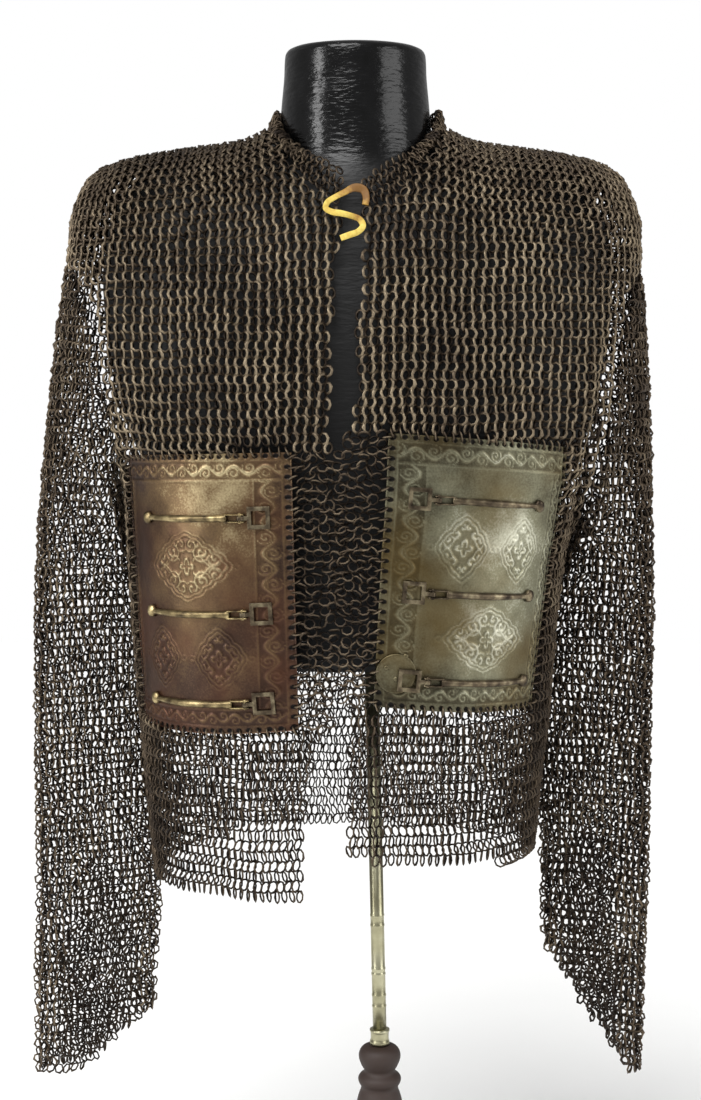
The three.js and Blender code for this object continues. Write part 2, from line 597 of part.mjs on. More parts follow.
function sleeveGrid(side) {
  const loop = armholeLoop(side);
  const angles = loopAngles(loop);
  const hangZ = SLEEVE[side][0][0];
  const grid = [];
  for (let i = 0; i < SLEEVE_DROP_ROWS; i += 1) {
    const t = i / SLEEVE_DROP_ROWS;
    grid.push(loop.map((from, k) => {
      const to = sleevePoint(side, hangZ, angles[k]);
      const drop = from.z - to.z;
      const leave = new THREE.Vector3(side * SLEEVE_SPREAD[side] * drop, 0.1 * drop, -drop);
      const arrive = new THREE.Vector3(0, 0.02 * drop, -drop);
      const weights = [2 * t ** 3 - 3 * t ** 2 + 1, t ** 3 - 2 * t ** 2 + t, 3 * t ** 2 - 2 * t ** 3, t ** 3 - t ** 2];
      const point = new THREE.Vector3();
      [from, leave, to, arrive].forEach((v, m) => point.addScaledVector(v, weights[m]));
      return i === 0 ? from.clone() : outsideBody(side, point);
    }));
  }
  for (const z of [hangZ, ...SLEEVE_HANG_Z]) {
    grid.push(angles.map((angle) => outsideBody(side, sleevePoint(side, z, angle))));
  }
  grid.push(angles.map((angle) => sleevePoint(side, SLEEVE[side][4][0], angle)));
  return grid.map((row) => row.map((p) => {
    const cuff = cuffAt(side, p.x);
    const low = SLEEVE[side][4][0];
    if (p.z < 400) p.z = 400 - (400 - p.z) * (400 - cuff) / (400 - low);
    return p;
  }));
}

for (const side of [RIGHT, LEFT]) {
  const geometry = shell(sleeveGrid(side), {
    outer: MAIL_WALL / 2,
    inner: -MAIL_WALL / 2,
    outward: side === LEFT ? 1 : -1,
    closed: true,
  });
  add(`sleeve_${sideWord[side]}`, geometry, rustyIron);
}

// Collar: stands on the neckline from one side of the throat round the nape to the other

const collarRows = rowsOf(COLLAR_COLUMNS, COLLAR);

function neckline() {
  const first = LEVELS.indexOf(NECKLINE_FROM_Z);
  const right = fronts[RIGHT].slice(first, -1).map((row) => row[0]);
  const left = fronts[LEFT].slice(first, -1).map((row) => row[0]);
  const top = backGrid[backGrid.length - 1];
  const middle = (top.length - 1) / 2;
  const nape = top.slice(middle - NECK_CELLS, middle + NECK_CELLS + 1);
  return [...right, ...nape, ...left.reverse()];
}

function collarGrid() {
  const foot = neckline();
  const top = foot.map((p) => {
    const angle = Math.atan2(p.x - COLLAR_CENTRE_X, -p.y);
    const turned = Math.abs(angle) * 180 / Math.PI;
    const radius = along(collarRows, 'angle', 'radius', turned);
    const z = along(collarRows, 'angle', 'z', turned);
    return new THREE.Vector3(COLLAR_CENTRE_X + radius * Math.sin(angle), -radius * Math.cos(angle), z);
  });
  const lifted = foot.map((p, k) => p.clone().lerp(top[k], COLLAR_GAP / p.distanceTo(top[k])));
  const waist = lifted.map((p, k) => p.clone().lerp(top[k], 0.5));
  return [lifted, waist, top];
}

add('collar', shell(collarGrid(), { outer: COLLAR_WALL / 2, inner: -COLLAR_WALL / 2, outward: -1 }), rustyIron);

// Plates

// Point on a plate's middle surface, by share across from the inner edge and share down from the top.
function platePoint(side, across, down) {
  const p = PLATE[side];
  const top = mix(p.innerTop[1], p.outerTop[1], across);
  const foot = mix(p.innerFoot[1], p.outerFoot[1], across) - p.bow * 4 * across * (1 - across);
  const z = mix(top, foot, down);
  const level = mix(PLATE_TOP_LEVEL, PLATE_FOOT_LEVEL, down);
  const at = plateAngles(side, level);
  return bodyPoint(side, FRONT, z, mix(at.inner, at.outer, across));
}

function plateNormal(side, across, down) {
  const d = 0.01;
  const a = platePoint(side, across + d, down).sub(platePoint(side, across - d, down));
  const b = platePoint(side, across, down + d).sub(platePoint(side, across, down - d));
  return a.cross(b).normalize().multiplyScalar(side === LEFT ? -1 : 1);
}

// Point at a distance in millimetres along the plate from its inner edge, at a height above its face.
const ARC_STEPS = 240;
function plateAtDistance(side, distance, down, height) {
  let length = 0;
  let before = platePoint(side, 0, down);
  for (let i = 1; i <= ARC_STEPS; i += 1) {
    const next = platePoint(side, i / ARC_STEPS, down);
    const step = next.distanceTo(before);
    if (length + step >= distance || i === ARC_STEPS) {
      const across = (i - 1 + (distance - length) / step) / ARC_STEPS;
      const normal = plateNormal(side, across, down);
      const face = PLATE_PROUD + PLATE_THICKNESS / 2;
      return { point: platePoint(side, across, down).addScaledVector(normal, face + height), normal };
    }
    length += step;
    before = next;
  }
  return null;
}

const PLATE_COLUMNS_CUT = 2 * PLATE_CELLS;
for (const side of [RIGHT, LEFT]) {
  const width = platePoint(side, 0, 0.5).distanceTo(platePoint(side, 1, 0.5));
  const height = platePoint(side, 0.5, 0).distanceTo(platePoint(side, 0.5, 1));
  const [aside, above] = [PLATE_GAP / width, PLATE_GAP / height];
  const grid = LEVELS.slice(footRow, topRow + 1).map((level) => {
    const down = (PLATE_TOP_LEVEL - level) / (PLATE_TOP_LEVEL - PLATE_FOOT_LEVEL);
    const row = [];
    for (let j = 0; j <= PLATE_COLUMNS_CUT; j += 1) {
      const across = mix(aside, 1 - aside, j / PLATE_COLUMNS_CUT);
      row.push(platePoint(side, across, Math.min(Math.max(down, above), 1 - above)));
    }
    return row;
  });
  const geometry = shell(grid, {
    outer: PLATE_PROUD + PLATE_THICKNESS / 2,
    inner: PLATE_PROUD - PLATE_THICKNESS / 2,
    outward: side === LEFT ? 1 : -1,
  });
  add(`plate_${sideWord[side]}`, geometry, side === RIGHT ? russetSteel : greySteel);
}

// Clasps

// Box-like strip along the plate, half round on top: stations give distance, width and height.
function strip(side, down, stations, offset) {
  const plateHeight = platePoint(side, 0.5, 0).distanceTo(platePoint(side, 0.5, 1));
  const rings = stations.map(({ at, width, height }) => {
    const ring = [];
    const corner = (sideways, rise) => {
      const share = down + (offset + sideways) / plateHeight;
      ring.push(plateAtDistance(side, at, share, BAR_CLEARANCE + rise).point);
    };
    corner(-width / 2, 0);
    corner(width / 2, 0);
    for (let i = 0; i < BAR_SECTION_POINTS; i += 1) {
      const turn = Math.PI * (0.08 + 0.84 * i / (BAR_SECTION_POINTS - 1));
      corner(Math.cos(turn) * width / 2, height * (0.35 + 0.65 * Math.sin(turn)));
    }
    return side === LEFT ? ring.reverse() : ring;
  });
  return loft(rings);
}

// Frame of directions at a clasp: a towards the plate's outer edge, d down the plate, n off its face.
function claspFrame(side, down) {
  const pin = plateAtDistance(side, PIN_AT, down, 0).point;
  const far = plateAtDistance(side, FRAME_FAR, down, 0).point;
  const a = pin.clone().sub(far).normalize();
  const below = plateAtDistance(side, PIN_AT, down + 0.02, 0).point.sub(pin);
  const d = below.addScaledVector(a, -below.dot(a)).normalize();
  const n = a.clone().cross(d).multiplyScalar(side === LEFT ? -1 : 1);
  return { pin, a, d, n };
}

// Puts a geometry drawn with X along a, Y along n and Z along the pin into its clasp's place.
function placeInClasp(geometry, frame) {
  const z = frame.a.clone().cross(frame.n);
  const matrix = new THREE.Matrix4().makeBasis(frame.a, frame.n, z).setPosition(frame.pin);
  return geometry.applyMatrix4(matrix);
}

function claspBar(side, down, frame) {
  const rows = rowsOf(BAR_COLUMNS, BAR);
  const prong = [
    { at: FORK_TIP, width: PRONG_WIDTH, height: PRONG_HEIGHT },
    { at: PIN_AT + 3, width: PRONG_WIDTH, height: PRONG_HEIGHT },
    { at: FORK_ROOT + 1, width: PRONG_WIDTH, height: rows[0].height - 0.2 },
  ];
  const aside = (FORK_SLOT + PRONG_WIDTH) / 2;
  const pin = new THREE.CylinderGeometry(PIN_RADIUS, PIN_RADIUS, FORK_SLOT + PRONG_WIDTH, 10);
  pin.rotateX(Math.PI / 2).translate(0, PIN_HEIGHT, 0);
  return geometryFromSolid(solidOf(strip(side, down, rows, 0))
    .add(solidOf(strip(side, down, prong, aside)))
    .add(solidOf(strip(side, down, prong, -aside)))
    .add(solidOf(placeInClasp(pin, frame))));
}

function claspBuckle(frame, rise) {
  const [near, far] = [FRAME_NEAR - PIN_AT, FRAME_FAR - PIN_AT];
  const half = FRAME_HEIGHT / 2;
  const outline = new THREE.Shape();
  outline.moveTo(near, -half).lineTo(near, half).lineTo(far, half).lineTo(far, -half).closePath();
  const window = new THREE.Path();
  const b = FRAME_BORDER;
  window.moveTo(near - b, half - b).lineTo(near - b, b - half).lineTo(far + b, b - half).lineTo(far + b, half - b);
  outline.holes.push(window.closePath());
  const square = new THREE.ExtrudeGeometry(outline, { depth: FRAME_THICKNESS, bevelEnabled: false });
  square.rotateX(-Math.PI / 2).translate(0, FRAME_CLEARANCE + rise, 0);
  const eye = new THREE.Shape();
  eye.absarc(0, PIN_HEIGHT, EYE_RADIUS, 0, 2 * Math.PI);
  const bore = new THREE.Path();
  bore.absarc(0, PIN_HEIGHT, EYE_BORE, 0, 2 * Math.PI, true);
  eye.holes.push(bore);
  const ring = new THREE.ExtrudeGeometry(eye, { depth: SHANK_WIDTH, bevelEnabled: false, curveSegments: 7 });
  ring.translate(0, 0, -SHANK_WIDTH / 2);
  const low = FRAME_CLEARANCE + rise;
  const tail = new THREE.Shape();
  tail.moveTo(near - 1, low).lineTo(-EYE_BORE - 0.3, PIN_HEIGHT - 1.4).lineTo(-EYE_BORE - 0.3, PIN_HEIGHT + 0.9);
  tail.lineTo(near - 1, low + FRAME_THICKNESS).closePath();
  const shank = new THREE.ExtrudeGeometry(tail, { depth: SHANK_WIDTH, bevelEnabled: false });
  shank.translate(0, 0, -SHANK_WIDTH / 2);
  const joined = solidOf(square).add(solidOf(ring)).add(solidOf(shank));
  return placeInClasp(geometryFromSolid(joined), frame);
}

for (const side of [RIGHT, LEFT]) {
  CLASP_SHARES.forEach((down, i) => {
    const frame = claspFrame(side, down);
    const onPatch = side === LEFT && i === 2;
    const name = `${sideWord[side]}_${i + 1}`;
    add(`clasp_bar_${name}`, claspBar(side, down, frame), brassySteel);
    add(`clasp_frame_${name}`, claspBuckle(frame, onPatch ? PATCH_THICKNESS + 0.3 : 0), brassySteel);
  });
}

// Patch

// A point of the left plate by its X and Z, moved out by a height above its face.
function platePlace(side, x, z, height) {
  const p = PLATE[side];
  const down = (p.innerTop[1] - z) / (p.innerTop[1] - p.innerFoot[1]);
  const level = mix(PLATE_TOP_LEVEL, PLATE_FOOT_LEVEL, down);
  const at = plateAngles(side, level);
  const across = (angleOfX(side, z, x) - at.inner) / (at.outer - at.inner);
  const normal = plateNormal(side, across, down);
  return bodyPoint(side, FRONT, z, angleOfX(side, z, x))
    .addScaledVector(normal, PLATE_PROUD + PLATE_THICKNESS / 2 + height);
}

function patchGeometry() {
  const ring = (radius, height) => Array.from({ length: PATCH_SEGMENTS }, (_, k) => {
    const turn = 2 * Math.PI * k / PATCH_SEGMENTS;
    return platePlace(LEFT, PATCH_AT[0] + radius * Math.cos(turn), PATCH_AT[1] + radius * Math.sin(turn), height);
  });
  const rings = [ring(PATCH_RADIUS * 0.55, BAR_CLEARANCE), ring(PATCH_RADIUS, BAR_CLEARANCE),
    ring(PATCH_RADIUS, BAR_CLEARANCE + 0.6), ring(PATCH_RADIUS * 0.93, BAR_CLEARANCE + PATCH_THICKNESS),
    ring(PATCH_RADIUS * 0.55, BAR_CLEARANCE + PATCH_THICKNESS)];
  return loft(rings);
}
add('patch', patchGeometry(), greySteel);

// Thong

function thongGeometry() {
  const points = rowsOf(THONG_COLUMNS, THONG).map(({ x, z, off }) => {
    let level = z;
    const side = x < COLLAR_CENTRE_X ? RIGHT : LEFT;
    const surface = () => bodyPoint(side, FRONT, level, angleOfX(side, level, x));
    for (let i = 0; i < 20; i += 1) level += z - surface().z;
    const p = surface();
    return new THREE.Vector3(p.x, p.y - MAIL_WALL / 2 - off, z);
  });
  const path = new THREE.CatmullRomCurve3(points, false, 'centripetal');
  const section = new THREE.Shape();
  for (let k = 0; k < THONG_SIDES; k += 1) {
    const turn = 2 * Math.PI * k / THONG_SIDES;
    const corner = [THONG_RADIUS * Math.cos(turn), THONG_RADIUS * Math.sin(turn)];
    if (k === 0) section.moveTo(...corner);
    else section.lineTo(...corner);
  }
  section.closePath();
  return new THREE.ExtrudeGeometry(section, { steps: THONG_STEPS, extrudePath: path, bevelEnabled: false });
}
add('thong', thongGeometry(), yellowLeather);

// Dress form

const formRows = rowsOf(FORM_COLUMNS, FORM);
const neckRows = rowsOf(NECK_COLUMNS, NECK);
const formCentre = rowsOf(FORM_CENTRE_COLUMNS, FORM_CENTRE);

// Radius of the form in a direction: the larger of the trunk's squared ellipse and the round neck.
function formPoint(z, turn) {
  const at = (name) => along(formRows, 'z', name, z);
  const [cosine, sine] = [Math.cos(turn), Math.sin(turn)];
  const depth = sine < 0 ? at('front') : at('back');
  const trunk = (Math.abs(cosine / at('width')) ** SQUARENESS
    + Math.abs(sine / depth) ** SQUARENESS) ** (-1 / SQUARENESS);
  const topZ = formRows[formRows.length - 1].z;
  const neck = along(neckRows, 'z', 'radius', z);
  const radius = Math.max(z < topZ ? trunk : 0, neck);
  const centre = along(formCentre, 'z', 'x', z);
  return new THREE.Vector3(centre + radius * cosine, radius * sine, z);
}

const formRings = FORM_LEVELS.map((z) => Array.from({ length: FORM_SEGMENTS },
  (_, k) => formPoint(z, 2 * Math.PI * k / FORM_SEGMENTS)));
add('dress_form', loft(formRings), blackLacquer);

// Stand

const lean = new THREE.Group();
const poleFoot = new THREE.Vector3(POLE_FOOT[0], 0, POLE_FOOT[1]);
const poleTop = new THREE.Vector3(POLE_TOP[0], 0, POLE_TOP[1]);
lean.position.copy(poleFoot);
lean.quaternion.setFromUnitVectors(new THREE.Vector3(0, 0, 1), poleTop.clone().sub(poleFoot).normalize());
coat.add(lean);
const poleLength = poleTop.distanceTo(poleFoot);
const pole = new THREE.CylinderGeometry(POLE_RADIUS, POLE_RADIUS, poleLength, TURNED_SEGMENTS);
pole.rotateX(Math.PI / 2).translate(0, 0, poleLength / 2);
add('pole', pole, agedNickel, lean);

const stand = new THREE.Group();
stand.position.x = STAND_X;
coat.add(stand);

// Turned about the stand's axis from a profile of radius and height that starts and ends on the axis.
function turned(profile) {
  const points = profile.map(([radius, height]) => new THREE.Vector2(radius, height));
  return new THREE.LatheGeometry(points, TURNED_SEGMENTS).rotateX(Math.PI / 2);
}

const FERRULE_PROFILE = [[0, 235.3], [FERRULE_RADIUS, 235.3], [FERRULE_RADIUS, 239], [FERRULE_RADIUS - 0.8, 240],
  [FERRULE_RADIUS - 0.8, 247], [FERRULE_RADIUS, 248], [FERRULE_RADIUS, 250.4], [0, 250.4]];
add('ferrule', turned(FERRULE_PROFILE), agedNickel, stand);
add('stand_column', turned(COLUMN_PROFILE), darkWood, stand);
add('stand_foot', turned(FOOT_PROFILE), darkWood, stand);

export default part;
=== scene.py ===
"""Looks of the plate and mail armour coat on its dress form.

Every piece is made in millimetres from the same named sizes as the solids, and is turned to metres
when its mesh is filled. Right and left are the wearer's, and the coat faces -Y.
"""
import math

import bmesh
import bpy
import numpy as np
from bpy.props import FloatProperty, FloatVectorProperty, IntProperty, PointerProperty
from bpy.types import Operator, Panel, PropertyGroup
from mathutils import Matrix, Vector


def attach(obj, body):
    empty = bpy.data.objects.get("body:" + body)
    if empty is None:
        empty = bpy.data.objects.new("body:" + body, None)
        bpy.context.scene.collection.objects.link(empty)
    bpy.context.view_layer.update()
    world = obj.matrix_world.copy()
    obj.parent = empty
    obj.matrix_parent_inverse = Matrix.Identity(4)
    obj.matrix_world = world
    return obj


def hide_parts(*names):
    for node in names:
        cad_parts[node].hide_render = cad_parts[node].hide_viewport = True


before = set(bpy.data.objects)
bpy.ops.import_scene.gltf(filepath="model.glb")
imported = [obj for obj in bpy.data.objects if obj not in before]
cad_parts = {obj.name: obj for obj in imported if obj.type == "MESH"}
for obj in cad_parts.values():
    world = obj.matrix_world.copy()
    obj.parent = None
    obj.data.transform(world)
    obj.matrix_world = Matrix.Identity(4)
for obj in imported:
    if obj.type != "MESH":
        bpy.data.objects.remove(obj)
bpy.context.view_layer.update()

bl_info = {
    "name": "Plate and Mail Armour Coat",
    "version": (1, 0, 0),
    "blender": (4, 5, 0),
    "location": "View3D > Sidebar > Armour",
    "description": "Builds an open coat of riveted mail with belly plates on a dress form",
    "category": "Add Mesh",
}

MM = 0.001
RIGHT, LEFT = -1, 1
FRONT, BACK = -1, 1
SIDES = (RIGHT, LEFT)
WORD = {RIGHT: "right", LEFT: "left"}
SEAM_GAP = 0.6
CENTRE_X = 3.05


# Tables of the coat's form, the same as the solids have

def table(columns, rows):
    """Named columns of a table as arrays, in the order of the first column."""
    values = np.array(rows, dtype=float)
    values = values[np.argsort(values[:, 0])]
    return {name: values[:, i] for i, name in enumerate(columns.split())}


BODY = table("z centre width_r width_l front back turn_r turn_l edge_r edge_l lift", [
    [397.0, 0.0, 165.5, 165.0, 119, 112, 90.0, 90.0, -32.7, 1.5, 0.00],
    [430.0, 0.0, 168.0, 166.5, 120, 112, 90.0, 90.0, -32.0, 0.9, 0.00],
    [460.0, 0.0, 170.5, 169.0, 121, 113, 90.0, 90.0, -30.7, 0.4, 0.00],
    [490.0, 0.0, 173.0, 171.5, 121, 113, 90.0, 90.0, -28.3, 0.1, 0.00],
    [520.0, 0.0, 175.5, 175.0, 122, 114, 90.0, 90.0, -21.5, 0.5, 0.00],
    [548.0, 0.0, 178.0, 178.5, 123, 115, 90.0, 90.0, -15.2, 0.9, 0.00],
    [588.0, 0.0, 180.8, 180.8, 124, 117, 90.0, 90.0, -7.8, 0.2, 0.00],
    [628.0, 0.0, 183.3, 183.8, 125, 118, 90.0, 90.0, -4.8, -0.4, 0.00],
    [665.0, 0.0, 185.5, 188.0, 126, 119, 90.0, 90.0, -4.2, -0.6, 0.00],
    [700.0, 0.0, 187.5, 194.0, 126, 119, 90.0, 90.0, -4.2, -0.6, 0.00],
    [740.0, 0.0, 189.5, 212.0, 126, 120, 90.0, 74.5, -4.4, -0.4, 0.00],
    [758.0, 0.0, 193.5, 223.0, 126, 121, 81.5, 69.0, -4.9, 0.2, 0.00],
    [777.0, 0.0, 200.5, 232.0, 126, 121, 73.7, 65.2, -5.9, 1.2, 0.00],
    [803.0, 1.2, 213.0, 240.0, 125, 122, 66.5, 63.6, -8.2, 3.8, 0.00],
    [829.0, 2.5, 225.0, 243.5, 124, 122, 61.5, 63.4, -10.4, 7.0, 0.00],
    [855.0, 4.2, 235.5, 244.7, 122, 121, 58.6, 64.2, -9.4, 8.8, 0.00],
    [880.0, 6.0, 243.0, 245.0, 120, 120, 57.5, 65.5, -7.3, 9.7, 0.00],
    [905.0, 8.0, 247.0, 245.0, 117, 118, 60.0, 67.9, -4.7, 10.2, 0.00],
    [922.0, 9.0, 247.5, 244.5, 114, 116, 67.0, 73.0, -3.4, 10.9, 0.04],
    [934.0, 9.6, 247.3, 244.3, 112, 114, 78.0, 80.5, -2.6, 11.4, 0.08],
    [941.0, 10.0, 247.0, 244.0, 110, 113, 90.0, 90.0, -2.2, 11.8, 0.12],
    [953.0, 10.8, 246.0, 243.0, 107, 109, 90.0, 90.0, -1.4, 12.4, 0.22],
    [965.0, 11.3, 245.5, 242.0, 102, 104, 90.0, 90.0, -1.0, 12.8, 0.32],
    [972.0, 11.5, 245.0, 241.5, 98, 100, 90.0, 90.0, -13.0, 36.0, 0.40],
    [988.0, 11.5, 241.0, 237.0, 86, 88, 90.0, 90.0, -34.0, 57.0, 0.55],
    [1001.0, 11.5, 235.0, 231.5, 71, 73, 90.0, 90.0, -46.0, 69.0, 0.70],
    [1011.0, 11.5, 227.5, 225.0, 50, 52, 90.0, 90.0, -54.5, 77.5, 0.85],
    [1017.5, 11.5, 219.5, 217.0, 26, 28, 90.0, 90.0, -60.5, 83.5, 0.95],
    [1020.0, 11.5, 216.0, 214.0, 0, 0, 90.0, 90.0, -63.5, 86.5, 1.00],
])
SQUARENESS = 2.5
SHOULDER = table("out z", [
    [0, 1055], [60, 1055], [75, 1051.5], [97, 1042], [125, 1037], [150, 1034], [175, 1030],
    [200, 1025], [216, 1020], [260, 1020]])
SHOULDER_END_Z = 1020.0
NECK_HALF_WIDTH = 75.0
NECK_BACK_DEPTH = 79.0
NAPE_DROP = 22.0
NECKLINE_FROM_Z = 965.0
ARMPIT_Z = {RIGHT: 740.0, LEFT: 700.0}
CAP_Z = 941.0
HEM_SHARES = [0.0, 0.5, 1.0]
HEM = {
    (FRONT, RIGHT): [398, 397, 394], (FRONT, LEFT): [434, 425, 416],
    (BACK, RIGHT): [409, 403, 396], (BACK, LEFT): [409, 412, 415],
}
PLATE = {
    RIGHT: {"inner_top": (-41.6, 780.6), "inner_foot": (-36.5, 548.8),
            "outer_top": (-183.0, 775.4), "outer_foot": (-171.9, 545.5), "bow": 5.0},
    LEFT: {"inner_top": (34.1, 796.2), "inner_foot": (23.3, 569.3),
           "outer_top": (184.0, 783.0), "outer_foot": (158.2, 561.0), "bow": 4.0},
}
PLATE_TOP_LEVEL, PLATE_FOOT_LEVEL = 777.0, 548.0
PLATE_THICKNESS = 1.8
PLATE_PROUD = 0.6
PLATE_FACE = PLATE_PROUD + PLATE_THICKNESS / 2
FOLD_DEPTH = {RIGHT: 2.5, LEFT: 5.0}
FOLD_LOW_Z = {RIGHT: 700.0, LEFT: 660.0}
FOLD_HIGH_Z = 900.0
SLEEVE = {
    RIGHT: table("z x y length thickness turn", [
        [600, 222.5, 30, 58, 25, 32], [500, 224.0, 32, 58, 20, 30], [380, 224.0, 34, 57, 17, 27],
        [300, 228.0, 34, 56, 15, 25], [207, 230.5, 34, 54, 14, 25]]),
    LEFT: table("z x y length thickness turn", [
        [600, 222.5, 30, 57, 25, 32], [500, 225.5, 32, 53, 21, 30], [420, 228.0, 33, 50, 18, 26],
        [330, 229.0, 33, 47, 16, 24], [207, 228.0, 33, 46, 15, 24]]),
}
SLEEVE_TOP_Z = 600.0
CUFF = {RIGHT: (207, 250, 238, 178), LEFT: (207, 310, 257, 187)}
SLEEVE_TOP_GAP = 1.2
SLEEVE_SIDE_GAP = {RIGHT: 1.7, LEFT: 1.0}
SLEEVE_ARMPIT_GAP = 5.0
SLEEVE_BODY_GAP = 6.5
SLEEVE_SPREAD = {RIGHT: 0.18, LEFT: 0.13}
COLLAR = table("angle radius z", [
    [0, 91, 999], [5, 91, 1003], [10, 90, 1012], [20, 85, 1020], [35, 79, 1028], [62, 71, 1045],
    [90, 70, 1067], [135, 71, 1065], [180, 75, 1061]])
COLLAR_CENTRE_X = 11.5
FORM = table("z width front back", [
    [593.0, 146, 92, 90], [600.0, 149, 95, 93], [650.0, 154, 99, 95], [720.0, 170, 104, 100],
    [760.0, 186, 108, 104], [800.0, 203, 111, 107], [860.0, 216, 111, 109], [920.0, 221, 104, 105],
    [960.0, 217, 92, 94],
    [985.0, 209, 78, 80], [1003.0, 197, 63, 65], [1015.0, 187, 50, 52], [1023.0, 179, 42, 44],
    [1027.2, 173, 36, 37], [1031.0, 150, 31, 32], [1034.0, 125, 28, 28], [1039.0, 98, 26, 26],
    [1044.6, 84, 24, 24], [1049.0, 70, 22, 22], [1060.0, 20, 10, 10]])
NECK = table("z radius", [
    [593, 20], [950, 60], [975, 82], [990, 81], [1010, 74], [1030, 68], [1050, 65.3], [1069, 64],
    [1095, 61.5], [1114, 60.4], [1118.4, 58], [1120.2, 54]])
FORM_CENTRE = table("z x", [[593, 22], [740, 13.5], [1000, 11.5], [1034, 11.5], [1060, 9.7], [1120.2, 9.7]])
FORM_TOP_Z = 1120.2
POLE_TOP = np.array([24.0 + CENTRE_X, 0.0, 592.5])
POLE_FOOT = np.array([32.0 + CENTRE_X, 0.0, 251.0])
STAND_X = 32.0 + CENTRE_X
CLASP_SHARES = (0.23, 0.569, 0.89)
PATCH_AT = (42.9, 597.0)
PATCH_RADIUS = 16.8


# How the mail hangs by height, as shares of the panel's settings: it is drawn long and narrow under the
# plates, full over the chest and packed close round the neck. Its shade column scales the rings' painted
# highlight and shade, lowest under the plates and lower round the neck
HANG = table("z row pitch lean wire shade", [
    [397, 1.25, 0.75, 1.20, 0.74, 0.40], [548, 1.24, 0.76, 1.20, 0.75, 0.45],
    [777, 1.02, 0.99, 1.0, 0.98, 1.0], [930, 1.0, 1.0, 1.0, 1.0, 1.0],
    [985, 0.84, 0.92, 0.9, 1.0, 0.8], [1020, 0.7, 0.84, 0.75, 0.92, 0.65]])


def lookup(rows, name, at):
    """Smooth curve through a table's rows: a cubic between rows, its slopes held so it never overshoots."""
    keys = next(iter(rows.values()))
    values = rows[name]
    at = np.clip(np.asarray(at, dtype=float), keys[0], keys[-1])
    i = np.clip(np.searchsorted(keys, at, side="right") - 1, 0, len(keys) - 2)
    places = np.arange(len(keys))
    before = np.maximum(places - 1, 0)
    after = np.minimum(places + 1, len(keys) - 1)
    slopes = (values[after] - values[before]) / (keys[after] - keys[before])
    span = keys[i + 1] - keys[i]
    step = values[i + 1] - values[i]
    rise = step / span

    def held(slope):
        limit = np.minimum(np.abs(slope), 3 * np.abs(rise))
        return np.where(rise * slope <= 0, 0.0, np.sign(rise) * limit) * span

    t = (at - keys[i]) / span
    first, last = held(slopes[i]), held(slopes[i + 1])
    return values[i] + t * (first + t * (3 * step - 2 * first - last + t * (first + last - 2 * step)))


def side_letter(side):
    return "r" if side == RIGHT else "l"


def unit(vectors):
    """Each vector divided by its length."""
    return vectors / np.maximum(np.linalg.norm(vectors, axis=-1, keepdims=True), 1e-9)


# Surfaces, each a function of two parameters

def angle_of_x(side, level, x):
    """Angle round the section whose X is x: the arcsine of the share of the width to the power n over 2."""
    share = side * (x - lookup(BODY, "centre", level)) / lookup(BODY, "width_" + side_letter(side), level)
    return np.sign(share) * np.arcsin(np.minimum(np.abs(share), 1.0) ** (SQUARENESS / 2))


def body_point(side, face, level, angle):
    """Coat's middle surface by level and angle: a squared ellipse, X the width times the sine and Y the
    depth times the cosine, both to the power 2 over n, lifted up the shoulder's slope near the top."""
    level, angle = np.broadcast_arrays(np.asarray(level, float), np.asarray(angle, float))
    sine = np.sin(angle)
    out = np.sign(sine) * np.abs(sine) ** (2 / SQUARENESS) * lookup(BODY, "width_" + side_letter(side), level)
    depth = np.maximum(np.cos(angle), 0) ** (2 / SQUARENESS)
    depth = depth * lookup(BODY, "front" if face == FRONT else "back", level)
    reach = np.abs(out)
    ridge = lookup(SHOULDER, "z", reach)
    if face == BACK:
        inside = np.clip(1 - (reach / NECK_HALF_WIDTH) ** 2, 0, None)
        ridge = ridge - NAPE_DROP * inside
        neck = np.where(level > NECKLINE_FROM_Z, NECK_BACK_DEPTH * np.sqrt(inside), 0)
        depth = np.maximum(depth, neck)
    x = lookup(BODY, "centre", level) + side * out + CENTRE_X
    y = face * (depth + SEAM_GAP / 2)
    z = level + lookup(BODY, "lift", level) * (ridge - SHOULDER_END_Z)
    return np.stack([x, y, z], axis=-1)


def plate_angles(side, level):
    """Angles of the plate's inner and outer edges at a level, from their straight lines in X and Z."""
    p = PLATE[side]
    down = np.clip((PLATE_TOP_LEVEL - level) / (PLATE_TOP_LEVEL - PLATE_FOOT_LEVEL), 0, 1)
    z = PLATE_TOP_LEVEL + (PLATE_FOOT_LEVEL - PLATE_TOP_LEVEL) * down
    inner = p["inner_top"][0] + (p["inner_foot"][0] - p["inner_top"][0]) * down
    outer = p["outer_top"][0] + (p["outer_foot"][0] - p["outer_top"][0]) * down
    return angle_of_x(side, z, inner), angle_of_x(side, z, outer)


def front_point(side, level, angle):
    """Front panel by level and angle: the coat's surface with three soft folds beside the armhole, each a
    half wave across the margin between plate and armhole, deepest halfway up."""
    level, angle = np.broadcast_arrays(np.asarray(level, float), np.asarray(angle, float))
    point = body_point(side, FRONT, level, angle)
    outer = plate_angles(side, level)[1]
    turn = np.radians(lookup(BODY, "turn_" + side_letter(side), level))
    share = np.clip((angle - outer) / np.maximum(turn - outer, 1e-6), 0, 1)
    rise = np.clip((level - FOLD_LOW_Z[side]) / 60, 0, 1) * np.clip((FOLD_HIGH_Z - level) / 60, 0, 1)
    fold = np.sin(3 * np.pi * share) * np.clip(share * 2, 0, 1) * np.clip(4 - 4 * share, 0, 1)
    point[..., 1] -= FOLD_DEPTH[side] * rise * fold
    return point


